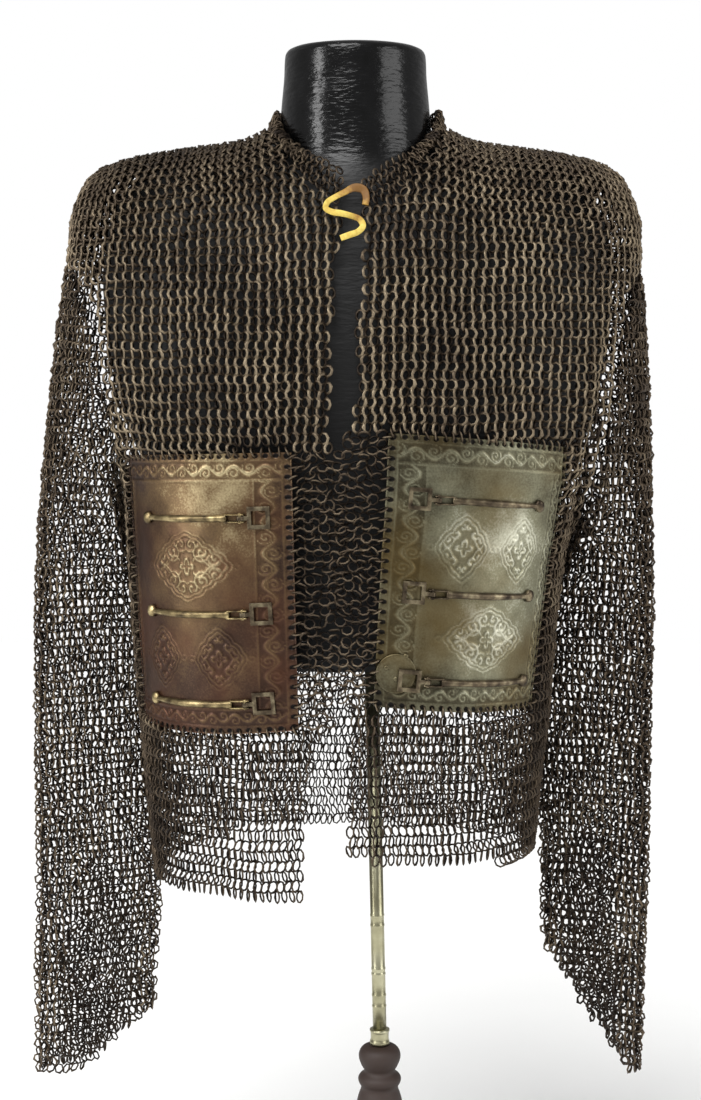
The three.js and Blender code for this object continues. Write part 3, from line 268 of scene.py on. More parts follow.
def plate_point(side, across, down):
    """Plate's middle surface by shares across and down: the coat's surface between straight side edges,
    the lower edge bowed as a parabola."""
    p = PLATE[side]
    across, down = np.broadcast_arrays(np.asarray(across, float), np.asarray(down, float))
    top = p["inner_top"][1] + (p["outer_top"][1] - p["inner_top"][1]) * across
    foot = p["inner_foot"][1] + (p["outer_foot"][1] - p["inner_foot"][1]) * across
    foot = foot - p["bow"] * 4 * across * (1 - across)
    z = top + (foot - top) * down
    level = PLATE_TOP_LEVEL + (PLATE_FOOT_LEVEL - PLATE_TOP_LEVEL) * down
    inner, outer = plate_angles(side, level)
    return body_point(side, FRONT, z, inner + (outer - inner) * across)


def armhole_loop(side):
    """Points round an armhole from the outside of the arm down the front to the armpit and up behind,
    moved off the panels' cut edges, with the angle of each by its length along the loop."""
    levels = BODY["z"][(BODY["z"] >= ARMPIT_Z[side]) & (BODY["z"] <= CAP_Z)][::-1]
    turns = np.radians(lookup(BODY, "turn_" + side_letter(side), levels))

    def ends(face):
        end = body_point(side, face, levels, turns)
        onwards = unit(end - body_point(side, face, levels, turns - 0.02))
        return end + onwards * SLEEVE_TOP_GAP

    front, back = ends(FRONT), ends(BACK)
    crown = front[0] * [1, 0, 1]
    armpit = front[-1] * [1, 0, 1]
    loop = np.concatenate([[crown], front[1:-1], [armpit], back[1:-1][::-1]])
    half = len(loop) // 2
    k = np.arange(len(loop))
    inwards = (1 - np.cos(np.pi * np.minimum(k, len(loop) - k) / half)) / 2
    gap = SLEEVE_SIDE_GAP[side] + (SLEEVE_ARMPIT_GAP - SLEEVE_SIDE_GAP[side]) * inwards ** 6
    loop = loop + np.stack([side * gap, 0 * gap, 0 * gap - SLEEVE_TOP_GAP], axis=1)
    steps = np.linalg.norm(np.roll(loop, -1, axis=0) - loop, axis=1)
    length = np.concatenate([[0], np.cumsum(steps)])
    angles = np.where(length <= length[half], np.pi * length / length[half],
                      np.pi + np.pi * (length - length[half]) / (length[-1] - length[half]))
    return np.concatenate([loop, loop[:1]]), angles


LOOPS = {side: armhole_loop(side) for side in SIDES}


def loop_point(side, angle):
    """Point of the armhole's loop at an angle, straight between its corners."""
    loop, angles = LOOPS[side]
    return np.stack([np.interp(np.mod(angle, 2 * np.pi), angles, loop[:, k]) for k in range(3)], axis=-1)


def hanging_section(side, z, angle):
    """Sleeve's hanging section: a flat ellipse turned about the vertical so its outer end comes forward."""
    rows = SLEEVE[side]
    turn = np.radians(lookup(rows, "turn", z))
    length = lookup(rows, "length", z) * np.cos(angle)
    thick = lookup(rows, "thickness", z) * np.sin(angle)
    x = lookup(rows, "x", z) + length * np.cos(turn) - thick * np.sin(turn)
    y = lookup(rows, "y", z) - length * np.sin(turn) - thick * np.cos(turn)
    return np.stack([side * x + CENTRE_X, y, z + 0 * x], axis=-1)


def outside_body(side, point):
    """Moves a sleeve's point out along its ray from the body's middle until it clears the body's side."""
    z = point[..., 2]
    width = lookup(BODY, "width_" + side_letter(side), z)
    width = np.minimum(width, lookup(BODY, "width_r", z) + 2) + SLEEVE_BODY_GAP
    depth = np.where(point[..., 1] < 0, lookup(BODY, "front", z), lookup(BODY, "back", z)) + SLEEVE_BODY_GAP
    centre = lookup(BODY, "centre", z) + CENTRE_X
    reach = (np.abs((point[..., 0] - centre) / width) ** SQUARENESS
             + np.abs(point[..., 1] / depth) ** SQUARENESS) ** (1 / SQUARENESS)
    push = np.where((reach < 1) & (z <= ARMPIT_Z[side]), 1 / np.maximum(reach, 1e-6), 1.0)
    return np.stack([centre + (point[..., 0] - centre) * push, point[..., 1] * push, z], axis=-1)


def sleeve_point(side, z, angle):
    """Sleeve's middle surface by height and angle: below the top section the hanging section, and above
    it a cubic that leaves the armhole's loop outwards and arrives hanging straight down."""
    z, angle = np.broadcast_arrays(np.asarray(z, float), np.asarray(angle, float))
    low = hanging_section(side, np.minimum(z, SLEEVE_TOP_Z), angle)
    start = loop_point(side, angle)
    drop = start[..., 2] - SLEEVE_TOP_Z
    t = np.clip((start[..., 2] - z) / drop, 0, 1)
    leave = np.stack([side * SLEEVE_SPREAD[side] * drop, 0.1 * drop, -drop], axis=-1)
    arrive = np.stack([0 * drop, 0.02 * drop, -drop], axis=-1)
    weights = (2 * t ** 3 - 3 * t ** 2 + 1, t ** 3 - 2 * t ** 2 + t, 3 * t ** 2 - 2 * t ** 3, t ** 3 - t ** 2)
    high = sum(w[..., None] * v for w, v in zip(weights, (start, leave, low, arrive)))
    return outside_body(side, np.where((z > SLEEVE_TOP_Z)[..., None], high, low))


def normals_of(surface, first, second, outward):
    """Unit normals of a surface by its two tangents, turned to face away from the body's middle."""
    step_first = surface(first + 0.4, second) - surface(first - 0.4, second)
    step_second = surface(first, second + 0.004) - surface(first, second - 0.004)
    down = unit(-step_first)
    normal = unit(np.cross(step_second, down))
    facing = np.sum(normal * outward(surface(first, second)), axis=-1, keepdims=True)
    return normal * np.where(facing < 0, -1.0, 1.0), down


# Meshes

def mesh_object(name, points, faces, material, smooth=True, attributes=None):
    """Object at the origin from points in millimetres and a list of face arrays of three or four corners."""
    mesh = bpy.data.meshes.new(name)
    faces = [np.asarray(f, dtype=np.int32) for f in faces if len(f)]
    corners = np.concatenate([f.ravel() for f in faces])
    sizes = np.concatenate([np.full(len(f), f.shape[1], np.int32) for f in faces])
    mesh.vertices.add(len(points))
    mesh.vertices.foreach_set("co", (np.asarray(points) * MM).astype(np.float32).ravel())
    mesh.loops.add(len(corners))
    mesh.loops.foreach_set("vertex_index", corners)
    mesh.polygons.add(len(sizes))
    mesh.polygons.foreach_set("loop_start", np.concatenate([[0], np.cumsum(sizes)[:-1]]).astype(np.int32))
    mesh.polygons.foreach_set("use_smooth", np.full(len(sizes), smooth))
    mesh.update(calc_edges=True)
    mesh.validate()
    for key, values in (attributes or {}).items():
        layer = mesh.attributes.new(key, "FLOAT", "POINT")
        layer.data.foreach_set("value", np.asarray(values, np.float32))
    mesh.materials.append(material)
    thing = bpy.data.objects.new(name, mesh)
    bpy.context.scene.collection.objects.link(thing)
    return thing


def grid_faces(rows, columns, around=False, flip=False):
    """Quads of a grid of points, joined to its first column where it goes around."""
    i, j = np.meshgrid(np.arange(rows - 1), np.arange(columns if around else columns - 1), indexing="ij")
    k = (j + 1) % columns
    quads = np.stack([i * columns + j, i * columns + k, (i + 1) * columns + k, (i + 1) * columns + j], -1)
    quads = quads.reshape(-1, 4)
    return quads[:, ::-1] if flip else quads


def tube(rings, close_ends=True, flip=False):
    """Points and faces of a closed tube through rings of points, its ends filled with one face each."""
    rings = np.asarray(rings)
    rows, columns = rings.shape[:2]
    faces = [grid_faces(rows, columns, around=True, flip=flip)]
    points = rings.reshape(-1, 3)
    if close_ends:
        middles = np.stack([rings[0].mean(0), rings[-1].mean(0)])
        first, last = len(points), len(points) + 1
        points = np.concatenate([points, middles])
        j = np.arange(columns)
        k = (j + 1) % columns
        top = (rows - 1) * columns
        start = np.stack([np.full(columns, first), k, j], 1)
        end = np.stack([np.full(columns, last), top + j, top + k], 1)
        faces.append(start[:, ::-1] if flip else start)
        faces.append(end[:, ::-1] if flip else end)
    return points, faces


def joined(parts):
    """One set of points and faces from several."""
    points, faces, base = [], [], 0
    for p, f in parts:
        points.append(p)
        faces.extend([np.asarray(q) + base for q in f])
        base += len(p)
    return np.concatenate(points), faces


# Rings

# Radius of a wire's three-sided section, as a share of the wire
WIRE_RADIUS = 0.56


def ring_cloud(centres, normals, downs, leans, radius, wire, segments, seed, facing,
               unevenness=1.0, shade=1.0):
    """Points, faces, tints and painted shading of many rings: a painted highlight on the arcs that stand out
    along facing and painted shade on their backs, scaled by the shade. Each is a wire circle in a plane turned
    by its lean about the downward line, its section a triangle of the wire's size, thicker where it is
    riveted."""
    random = np.random.default_rng(seed)
    count = len(centres)
    across = unit(np.cross(downs, normals))
    lean = leans + random.normal(0, 0.09 * unevenness, count)
    nod = random.normal(0, 0.11 * unevenness, count)
    axis = unit(normals * np.cos(lean)[:, None] + across * np.sin(lean)[:, None])
    side = across * np.cos(lean)[:, None] - normals * np.sin(lean)[:, None]
    up = -downs
    cosine, sine = np.cos(nod)[:, None], np.sin(nod)[:, None]
    axis, up = axis * cosine + up * sine, up * cosine - axis * sine
    start = random.uniform(0, 2 * np.pi, count)
    size = radius * random.normal(1, 0.025, count)
    middle = centres + random.normal(0, 0.25 * unevenness, (count, 3))
    turn = 2 * np.pi * np.arange(segments) / segments
    angle = start[:, None] + turn
    spoke = np.cos(angle)[..., None] * side[:, None] + np.sin(angle)[..., None] * up[:, None]
    swell = np.where(np.arange(segments) == 0, 1.45, 1.0)
    section = np.radians([90, 210, 330])
    thick = np.broadcast_to(wire, count)[:, None, None] * swell[:, None]
    outwards = size[:, None, None] + thick * np.sin(section)
    along = thick * np.cos(section)
    points = (middle[:, None, None] + outwards[..., None] * spoke[:, :, None]
              + along[..., None] * axis[:, None, None])
    per = segments * 3
    i, j = np.meshgrid(np.arange(segments), np.arange(3), indexing="ij")
    i2, j2 = (i + 1) % segments, (j + 1) % 3
    quads = np.stack([i * 3 + j, i2 * 3 + j, i2 * 3 + j2, i * 3 + j2], -1).reshape(-1, 4)
    faces = (quads[None] + (np.arange(count) * per)[:, None, None]).reshape(-1, 4)
    tint = np.repeat(random.uniform(0, 1, count), per)
    # Painted shading: arcs standing out along facing get a painted highlight and the backs painted shade,
    # scaled by the shade
    height = np.sum((points - middle[:, None, None]) * facing[:, None, None], axis=-1)
    painted_shading = np.clip(0.5 + height / (1.2 * size[:, None, None]), 0, 1)
    painted_shading = painted_shading * np.broadcast_to(shade, count)[:, None, None]
    return points.reshape(-1, 3), [faces], tint, painted_shading.ravel()


def spaced_levels(line, low, high, pitch, hanging=False):
    """Levels a pitch apart along a line up a surface, or a pitch times the hanging table's share."""
    fine = np.linspace(low, high, 900)
    steps = np.linalg.norm(np.diff(line(fine), axis=0), axis=1)
    if hanging:
        steps = steps / lookup(HANG, "row", (fine[1:] + fine[:-1]) / 2)
    length = np.concatenate([[0], np.cumsum(steps)])
    return np.interp(np.arange(pitch / 2, length[-1] - pitch * 0.3, pitch), length, fine)


def row_places(surface, levels, lows, highs, anchors, pitch, margin):
    """Levels, turns and row numbers of rings: a pitch apart along each row's own length from its anchor,
    every other row moved on by half a pitch."""
    shares = np.linspace(0, 1, 321)
    turns = lows[:, None] + (highs - lows)[:, None] * shares
    points = surface(levels[:, None], turns)
    steps = np.linalg.norm(np.diff(points, axis=1), axis=2)
    lengths = np.concatenate([np.zeros((len(levels), 1)), np.cumsum(steps, axis=1)], axis=1)
    pitches = np.broadcast_to(pitch, len(levels))
    places = []
    for row, level in enumerate(levels):
        origin = np.interp(anchors[row], turns[row], lengths[row])
        reach = int(lengths[row, -1] / pitches[row]) + 2
        length = origin + (np.arange(-reach, reach + 1) + 0.5 * (row % 2)) * pitches[row]
        length = length[(length > margin) & (length < lengths[row, -1] - margin)]
        turn = np.interp(length, lengths[row], turns[row])
        places.append(np.stack([0 * turn + level, turn, 0 * turn + row], axis=1))
    return np.concatenate(places)


# Mail panels

def front_surface(side):
    return lambda level, angle: front_point(side, level, angle)


def back_point(level, angle):
    """Back by level and signed angle, negative on the right: the coat's surface on each side."""
    level, angle = np.broadcast_arrays(np.asarray(level, float), np.asarray(angle, float))
    right = body_point(RIGHT, BACK, level, np.abs(angle))
    left = body_point(LEFT, BACK, level, np.abs(angle))
    return np.where((angle < 0)[..., None], right, left)


def from_body_axis(points):
    """Direction away from the coat's upright middle line."""
    return (points - [11.5 + CENTRE_X, 0, 0]) * [1, 1, 0.02]


def plate_distances(side, x, z):
    """Distances in millimetres outside a plate's inner, outer, top and lower edges, negative within."""
    p = PLATE[side]
    down = (p["inner_top"][1] - z) / (p["inner_top"][1] - p["inner_foot"][1])
    inner = p["inner_top"][0] + (p["inner_foot"][0] - p["inner_top"][0]) * down
    outer = p["outer_top"][0] + (p["outer_foot"][0] - p["outer_top"][0]) * down
    across = np.clip((x - inner) / (outer - inner), 0, 1)
    top = p["inner_top"][1] + (p["outer_top"][1] - p["inner_top"][1]) * across
    foot = p["inner_foot"][1] + (p["outer_foot"][1] - p["inner_foot"][1]) * across
    foot = foot - p["bow"] * 4 * across * (1 - across)
    return side * (inner - x), side * (x - outer), z - top, foot - z


def hem_at(face, side, share):
    return np.interp(share, HEM_SHARES, HEM[face, side])


def front_places(side, mail):
    """Levels, angles and row numbers of a front's rings, clear of its hem, its plate and its strip."""
    letter = side_letter(side)
    low = min(HEM[FRONT, side])

    def line(level):
        return front_point(side, level, angle_of_x(side, level, side * 150))

    levels = spaced_levels(line, low, 1020.0, mail.body_row, hanging=True)
    first = angle_of_x(side, levels, lookup(BODY, "edge_" + letter, levels))
    last = np.radians(lookup(BODY, "turn_" + letter, levels))
    anchors = angle_of_x(side, levels, side * 100)
    pitch = mail.body_pitch * lookup(HANG, "pitch", levels)
    places = row_places(front_surface(side), levels, first, last, anchors, pitch, EDGE_MARGIN)
    level, angle, _ = places.T
    edge = angle_of_x(side, level, lookup(BODY, "edge_" + letter, level))
    turn = np.radians(lookup(BODY, "turn_" + letter, level))
    point = front_point(side, level, angle)
    hem = hem_at(FRONT, side, (angle - edge) / (turn - edge))
    inner, outer, top, foot = plate_distances(side, point[:, 0] - CENTRE_X, point[:, 2])
    beside = (inner > WINDOW_MARGIN) | (outer > WINDOW_MARGIN - 1.1)
    clear = beside | (top > WINDOW_MARGIN) | (foot > WINDOW_MARGIN)
    strip = (inner > 0) & (top < 0) & (foot < 0)
    return places[(point[:, 2] > hem + HEM_MARGIN) & clear & ~strip]


def strip_places(side, mail):
    """Levels and angles of the rings between a plate and the opening, in upright columns."""
    p = PLATE[side]
    low, high = p["inner_foot"][1] + 1, p["inner_top"][1] - 1
    places = []
    for column in range(STRIP_COLUMNS):
        z = low + STRIP_PITCH * (np.arange(60) + 0.5 * (column % 2))
        z = z[z < high]
        down = (p["inner_top"][1] - z) / (p["inner_top"][1] - p["inner_foot"][1])
        inner = p["inner_top"][0] + (p["inner_foot"][0] - p["inner_top"][0]) * down
        x = inner - side * (STRIP_START + STRIP_STEP * column)
        inside = side * (x - lookup(BODY, "edge_" + side_letter(side), z)) > STRIP_MARGIN
        angle = angle_of_x(side, z, x)
        places.append(np.stack([z, angle, 0 * z + column], axis=1)[inside])
    return np.concatenate(places)


def plate_edge_rings(side, mail, seed):
    """Rings through a plate's holed border: each stands across the edge, half on the plate."""
    centres, along_edge, faces = [], [], []
    for fixed, value, pitch in EDGE_PITCHES:
        def point(share):
            return plate_point(side, share, value) if fixed == "down" else plate_point(side, value, share)
        fine = np.linspace(0, 1, 400)
        line = point(fine)
        length = np.concatenate([[0], np.cumsum(np.linalg.norm(np.diff(line, axis=0), axis=1))])
        count = int(length[-1] / pitch)
        share = np.interp((np.arange(count) + 0.5) * length[-1] / count, length, fine)
        centres.append(point(share))
        along_edge.append(unit(point(share + 0.004) - point(share - 0.004)))
        across = np.clip(share if fixed == "down" else 0 * share + value, 0.01, 0.99)
        down = np.clip(share if fixed == "across" else 0 * share + value, 0.01, 0.99)
        faces.append(plate_normal(side, across, down))
    centres, along_edge, faces = map(np.concatenate, (centres, along_edge, faces))
    lean = 0.3 + 0.12 * (-1.0) ** np.arange(len(centres))
    return ring_cloud(centres + faces * PLATE_PROUD, along_edge, faces, lean, mail.edge_ring / 2 - 0.7,
                      0.95, 10, seed, facing=faces, shade=0.75)


def settled(points, normals, downs):
    """Points moved within the cloth by slow waves of a millimetre or two, as worn mail hangs unevenly: sums
    of sines whose lengths, 60 to 150 mm, share no common measure."""
    x, y, z = points.T
    across = np.cross(downs, normals)
    aside = 1.1 * np.sin(x / 17 + z / 23) + 0.8 * np.sin(z / 11.3 - x / 31 + y / 19)
    along = 0.9 * np.sin(x / 13.7 - y / 21 + 1.3) + 0.9 * np.sin(z / 19 + x / 27 + 0.4)
    return points + across * aside[:, None] + downs * along[:, None]


def rings_on(surface, places, outward, size, mail, seed, segments=6, sideways=False, unevenness=1.0,
             shade=None):
    """Ring cloud over a surface at levels and angles, every other row leaning the other way. Without a
    shade the hanging table gives the lean, wire and shade by level."""
    diameter, wire = size
    level, angle, row = places.T
    normals, downs = normals_of(surface, level, angle, outward)
    centres = settled(surface(level, angle), normals, downs)
    lean = mail.lean + 0 * level
    if shade is None:
        lean = lean * lookup(HANG, "lean", level)
        wire = wire * lookup(HANG, "wire", level)
        shade = lookup(HANG, "shade", level)
    if sideways:
        downs = unit(np.cross(downs, normals))
    leans = np.where(row % 2 > 0, lean, -lean)
    radius = (diameter - wire) / 2
    return ring_cloud(centres, normals, downs, leans, radius, wire * WIRE_RADIUS, segments, seed,
                      facing=normals, unevenness=unevenness, shade=shade)


def add_mail(name, clouds, material, node):
    """One piece of mail from several ring clouds, attached to the coat in place of its solid, which it hides.
    """
    points, faces = joined([(c[0], c[1]) for c in clouds])
    attributes = {
        "tint": np.concatenate([c[2] for c in clouds]),
        # The rings' painted highlight and shade
        "painted_shading": np.concatenate([c[3] for c in clouds]),
    }
    piece = mesh_object(name, points, faces, material, attributes=attributes)
    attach(piece, "coat")
    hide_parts(node)
    return piece


# Plates

def plate_normal(side, across, down):
    """Unit normal off the plate's face, by its two tangents."""
    d = 0.004
    a = plate_point(side, across + d, down) - plate_point(side, across - d, down)
    b = plate_point(side, across, down + d) - plate_point(side, across, down - d)
    normal = unit(np.cross(a, b))
    return normal * (-1.0 if side == LEFT else 1.0)


def plate_size(side):
    width = np.linalg.norm(plate_point(side, np.linspace(0, 1, 60)[1:], 0.5)
                           - plate_point(side, np.linspace(0, 1, 60)[:-1], 0.5), axis=1).sum()
    height = np.linalg.norm(plate_point(side, 0.5, 0.0) - plate_point(side, 0.5, 1.0))
    return width, height


def hump(distance, width):
    """Rounded ridge, 1 on its line and falling off as a bell curve."""
    return np.exp(-(distance / width) ** 2)


def scroll_band(along, across, half):
    """Running scroll: a sine stem down a band's middle with a curled leaf in every bay."""
    wave = 3.2 * half
    stem = 0.5 * half * np.sin(2 * np.pi * along / wave)
    ridge = hump(across - stem, STROKE)
    bay = np.floor(2 * along / wave)
    local = along - (bay + 0.5) * wave / 2
    turn = np.where(bay % 2 > 0, 1.0, -1.0)
    rise = across + turn * -0.3 * half
    radius = np.hypot(local, rise)
    angle = np.arctan2(rise, local) * turn
    curl = (radius < 0.72 * half) * hump(np.cos(np.pi * radius / 3.3 - angle / 2), 0.5)
    return np.clip(np.maximum(ridge, curl), 0, 1)


def spiral(x, y, radius, pitch, turn):
    """Coil of a raised line: the distance to the nearest turn of a spiral whose turns are a pitch apart."""
    reach = np.hypot(x, y)
    share = reach / pitch - turn * np.arctan2(y, x) / (2 * np.pi)
    return hump((share - np.round(share)) * pitch, STROKE) * np.clip((radius - reach) / 0.8, 0, 1)


def vine(x, y, half_width, half_height):
    """Vine in a medallion, the same in its four quarters: a flower, a bent stem and a coil at each bend."""
    x, y = np.abs(x), np.abs(y)
    angle = np.arctan2(y, x)
    flower = hump(np.hypot(x, y) - 5.2 * np.abs(np.cos(2 * angle)) - 1.2, STROKE)
    stem = hump(y - 0.3 * half_height * np.sin(3.4 * x / half_width * np.pi / 2) ** 2, STROKE) * (x > 6)
    result = np.maximum(flower, stem)
    for u, v, size, turn in ((0.36, 0.42, 0.22, 1), (0.66, 0.24, 0.17, -1), (0.12, 0.62, 0.16, -1)):
        coil = spiral(x - u * half_width, y - v * half_height, size * half_width, 4.6, turn)
        result = np.maximum(result, coil)
    return result


def medallion(x, y, half_width, half_height, lobes):
    """Lobed almond with a double outline round a vine and a knop at each end: its height, and its cover,
    1 inside. The outline's radius is 1, less a power of the sine of twice the angle, plus lobes."""
    u, v = x / half_width, y / half_height
    radius, angle = np.hypot(u, v), np.arctan2(v, u)
    edge = 0.97 - 0.17 * np.abs(np.sin(2 * angle)) ** 1.5 + 0.05 * np.abs(np.cos(lobes * angle))
    gap = (radius - edge) * min(half_width, half_height)
    cover = np.clip(0.5 - gap / 1.2, 0, 1)
    rim = np.maximum(hump(gap, 1.0), 0.8 * hump(gap + 3.4, 0.9))
    knop = hump(np.hypot(np.abs(x) - half_width - 3.4, y) - 2.2, 0.8)
    inner = np.clip(-(gap + 4.8) / 0.8, 0, 1)
    raised = np.maximum(rim, vine(x, y, half_width, half_height) * inner)
    return np.clip(raised, 0, 1), cover, knop


# Each design's painted sheen entry gives the shares across and down where its painted highlight is brightest
ORNAMENT = {
    RIGHT: {"bands": (17.0, 19.0, 6.0, 15.0), "plain": 6.2, "painted_sheen": (0.36, 0.13), "medallions": [
        (0.50, 0.40, 41.0, 29.0, 8), (0.335, 0.73, 22.5, 26.0, 6), (0.70, 0.73, 22.5, 26.0, 6)]},
    LEFT: {"bands": (18.0, 19.0, 12.0, 16.0), "plain": 6.5, "painted_sheen": (0.56, 0.5), "medallions": [
        (0.345, 0.40, 22.0, 28.0, 6), (0.69, 0.40, 22.0, 28.0, 6), (0.53, 0.73, 40.0, 27.0, 8)]},
}
EDGE_PITCHES = (("down", 0.0, 6.9), ("down", 1.0, 7.5), ("across", 0.0, 8.3), ("across", 1.0, 7.8))
# Half width of the ornament's raised lines
STROKE = 1.15
HOLE_RADIUS = 2.0
HOLE_INSET = 3.2
HOLE_DEPTH = -0.25
GROUND = 0.42


def plate_relief(side, x, y, width, height):
    """Height from 0 to 1 of a plate's ornament at distances from its inner and upper edges: a plain rim
    with a row of holes, four bands of running scroll between fillets, and medallions on a plain ground."""
    design = ORNAMENT[side]
    plain = design["plain"]
    top, inner, outer, foot = design["bands"]
    result = GROUND + 0.05 * np.sin(0.31 * x + 0.4 * np.sin(0.2 * y)) * np.sin(0.23 * y)
    for u, v, half_width, half_height, lobes in design["medallions"]:
        raised, cover, knop = medallion(x - u * width, y - v * height, half_width, half_height, lobes)
        result = result * (1 - cover) + (0.24 + 0.76 * raised) * cover
        result = np.maximum(result, 0.8 * knop * (1 - cover))
    edges = ((x, y, inner), (width - x, y, outer), (y, x, top), (height - y, x, foot))
    for depth, along, band in edges:
        inside = np.clip((plain + band - depth) / 0.8, 0, 1)
        scroll = 0.2 + 0.8 * scroll_band(along, depth - plain - band / 2, max(band / 2 - 1.4, 1.5))
        result = result * (1 - inside) + scroll * inside
        result = np.maximum(result, 0.85 * hump(depth - plain - band, 0.8))
    depth = np.minimum(np.minimum(x, y), np.minimum(width - x, height - y))
    rim = np.clip((plain - depth) / 0.8, 0, 1)
    result = result * (1 - rim) + 0.5 * rim
    result = np.maximum(result, 0.8 * hump(depth - plain, 0.7))
    edges = ((y, x, width), (height - y, x, width), (x, y, height), (width - x, y, height))
    for (edge, along, length), (_, _, pitch) in zip(edges, EDGE_PITCHES):
        step = length / int(length / pitch)
        local = (along / step - np.floor(along / step) - 0.5) * step
        hole = np.clip((np.hypot(local, edge - HOLE_INSET) - HOLE_RADIUS + 0.5) / 1.0, 0, 1)
        result = result * hole + HOLE_DEPTH * (1 - hole)
    return result


def plate_mesh(side, plates):
    """Points, faces and relief of a plate: a fine skin raised by its ornament, its edges, and a coarse
    underside whose end columns keep the skin's rows."""
    width, height = plate_size(side)
    rows, columns = int(height / plates.step), int(width / plates.step)
    rows = UNDER_ROWS * (rows // UNDER_ROWS) + 1
    aside, above = PLATE_GAP / width, PLATE_GAP / height
    down, across = np.meshgrid(np.linspace(above, 1 - above, rows),
                               np.linspace(aside, 1 - aside, columns), indexing="ij")
    relief = plate_relief(side, across * width, down * height, width, height)
    normal = plate_normal(side, across, down)
    middle = plate_point(side, across, down)
    lift = PLATE_FACE + plates.relief * (relief - 0.75)
    skin = middle + normal * lift[..., None]
    under = middle + normal * (PLATE_PROUD - PLATE_THICKNESS / 2)
    points = np.concatenate([skin.reshape(-1, 3), under.reshape(-1, 3)])
    base = rows * columns
    flip = side == LEFT
    faces = [grid_faces(rows, columns, flip=not flip)]
    loop = np.concatenate([np.arange(columns), np.arange(1, rows) * columns + columns - 1,
                           (rows - 1) * columns + np.arange(columns - 1)[::-1],
                           np.arange(1, rows - 1)[::-1] * columns])
    after = np.roll(loop, -1)
    wall = np.stack([loop, after, after + base, loop + base], 1)
    faces.append(wall[:, ::-1] if not flip else wall)
    stops = np.linspace(0, rows - 1, UNDER_ROWS + 1).astype(int)
    quads = []
    for a, b in zip(stops[:-1], stops[1:]):
        j = np.arange(1, columns - 2)
        above_row, below_row = a * columns + j, b * columns + j
        quads.append(np.stack([above_row, above_row + 1, below_row + 1, below_row], 1))
        left = np.concatenate([np.arange(a, b + 1)[::-1] * columns, [a * columns + 1, b * columns + 1]])
        right = np.concatenate([np.arange(a, b + 1) * columns + columns - 1,
                                [b * columns + columns - 2, a * columns + columns - 2]])
        faces.append((left[None] if not flip else left[None, ::-1])[:, ::-1] + base)
        faces.append((right[None] if not flip else right[None, ::-1])[:, ::-1] + base)
    under_faces = np.concatenate(quads) + base
    faces.append(under_faces if not flip else under_faces[:, ::-1])
    # Painted sheen: a soft bright patch where the plate's highlight falls
    u, v = ORNAMENT[side]["painted_sheen"]
    painted_sheen = hump(np.hypot((across - u) / 0.8, down - v), 0.5)
    values = np.stack([np.concatenate([relief.ravel(), np.full(base, 0.3)]),
                       np.concatenate([painted_sheen.ravel(), np.full(base, 0.0)])])
    return points, faces, values


def keep_used(points, faces, values):
    """Leaves out the points that no face uses."""
    used = np.unique(np.concatenate([f.ravel() for f in faces]))
    place = np.zeros(len(points), dtype=np.int64)
    place[used] = np.arange(len(used))
    return points[used], [place[f] for f in faces], values[:, used]


# Clasps

def plate_at(side, distance, down, aside, height):
    """Point of a plate at a distance along it from its inner edge, moved down it by aside and off its
    face by height, all in millimetres."""
    fine = np.linspace(0, 1, 241)
    line = plate_point(side, fine, down)
    length = np.concatenate([[0], np.cumsum(np.linalg.norm(np.diff(line, axis=0), axis=1))])
    tall = np.linalg.norm(plate_point(side, 0.5, 0.0) - plate_point(side, 0.5, 1.0))
    distance, aside, height = np.broadcast_arrays(*(np.asarray(v, float) for v in (distance, aside, height)))
    across = np.interp(distance, length, fine)
    level = down + aside / tall
    normal = plate_normal(side, across, level)
    return plate_point(side, across, level) + normal * (PLATE_FACE + height)[..., None]


def clasp_frame(side, down):
    """Pin's place and directions a, along the bar, d, down the plate, and n, off its face."""
    pin = plate_at(side, PIN_AT, down, 0, 0)
    a = unit(pin - plate_at(side, FRAME_FAR, down, 0, 0))
    below = plate_at(side, PIN_AT, down + 0.02, 0, 0) - pin
    d = unit(below - a * np.dot(below, a))
    n = np.cross(a, d) * (-1 if side == LEFT else 1)
    return pin, a, d, n


def half_round(side, down, stations, offset, points_round=13):
    """Tube along a plate, flat below and round above: its stations give distance, width and height."""
    at, width, height = np.array(stations, float).T
    turn = np.pi * (0.03 + 0.94 * np.linspace(0, 1, points_round))
    sideways = np.concatenate([[-0.5, 0.5], np.cos(turn) / 2])
    rise = np.concatenate([[0, 0], 0.3 + 0.7 * np.sin(turn)])
    ring = plate_at(side, at[:, None], down, offset + width[:, None] * sideways,
                    BAR_CLEARANCE + height[:, None] * rise)
    return tube(ring, flip=side == RIGHT)


def smooth_stations(rows, step):
    """Stations a step apart through rows of distance, width and height, by the held cubic."""
    rows = table("at width height", rows)
    at = np.arange(rows["at"][0], rows["at"][-1] + step / 2, step)
    return np.stack([at, lookup(rows, "width", at), lookup(rows, "height", at)], axis=1)


def cylinder_between(start, end, radius, segments=16):
    """Round pin from start to end with softened ends."""
    axis = unit(end - start)
    side = unit(np.cross(axis, [0.3, 0.2, 0.9]))
    other = np.cross(axis, side)
    turn = 2 * np.pi * np.arange(segments) / segments
    spoke = np.cos(turn)[:, None] * side + np.sin(turn)[:, None] * other
    length = np.linalg.norm(end - start)
    profile = [(0, 0.7), (0.06, 1), (0.94, 1), (1, 0.7)]
    return tube([start + axis * length * t + spoke * radius * r for t, r in profile])


def dome(centre, normal, radius, height, segments=20):
    """Round-headed rivet: rings of a flattened half ball over a short edge."""
    side = unit(np.cross(normal, [0.3, 0.9, 0.2]))
    other = np.cross(normal, side)
    turn = 2 * np.pi * np.arange(segments) / segments
    spoke = np.cos(turn)[:, None] * side + np.sin(turn)[:, None] * other
    profile = [(1, -0.6), (1, 0), (0.94, 0.35), (0.78, 0.66), (0.5, 0.89), (0.2, 0.99)]
    return tube([centre + spoke * radius * r + normal * height * h for r, h in profile])


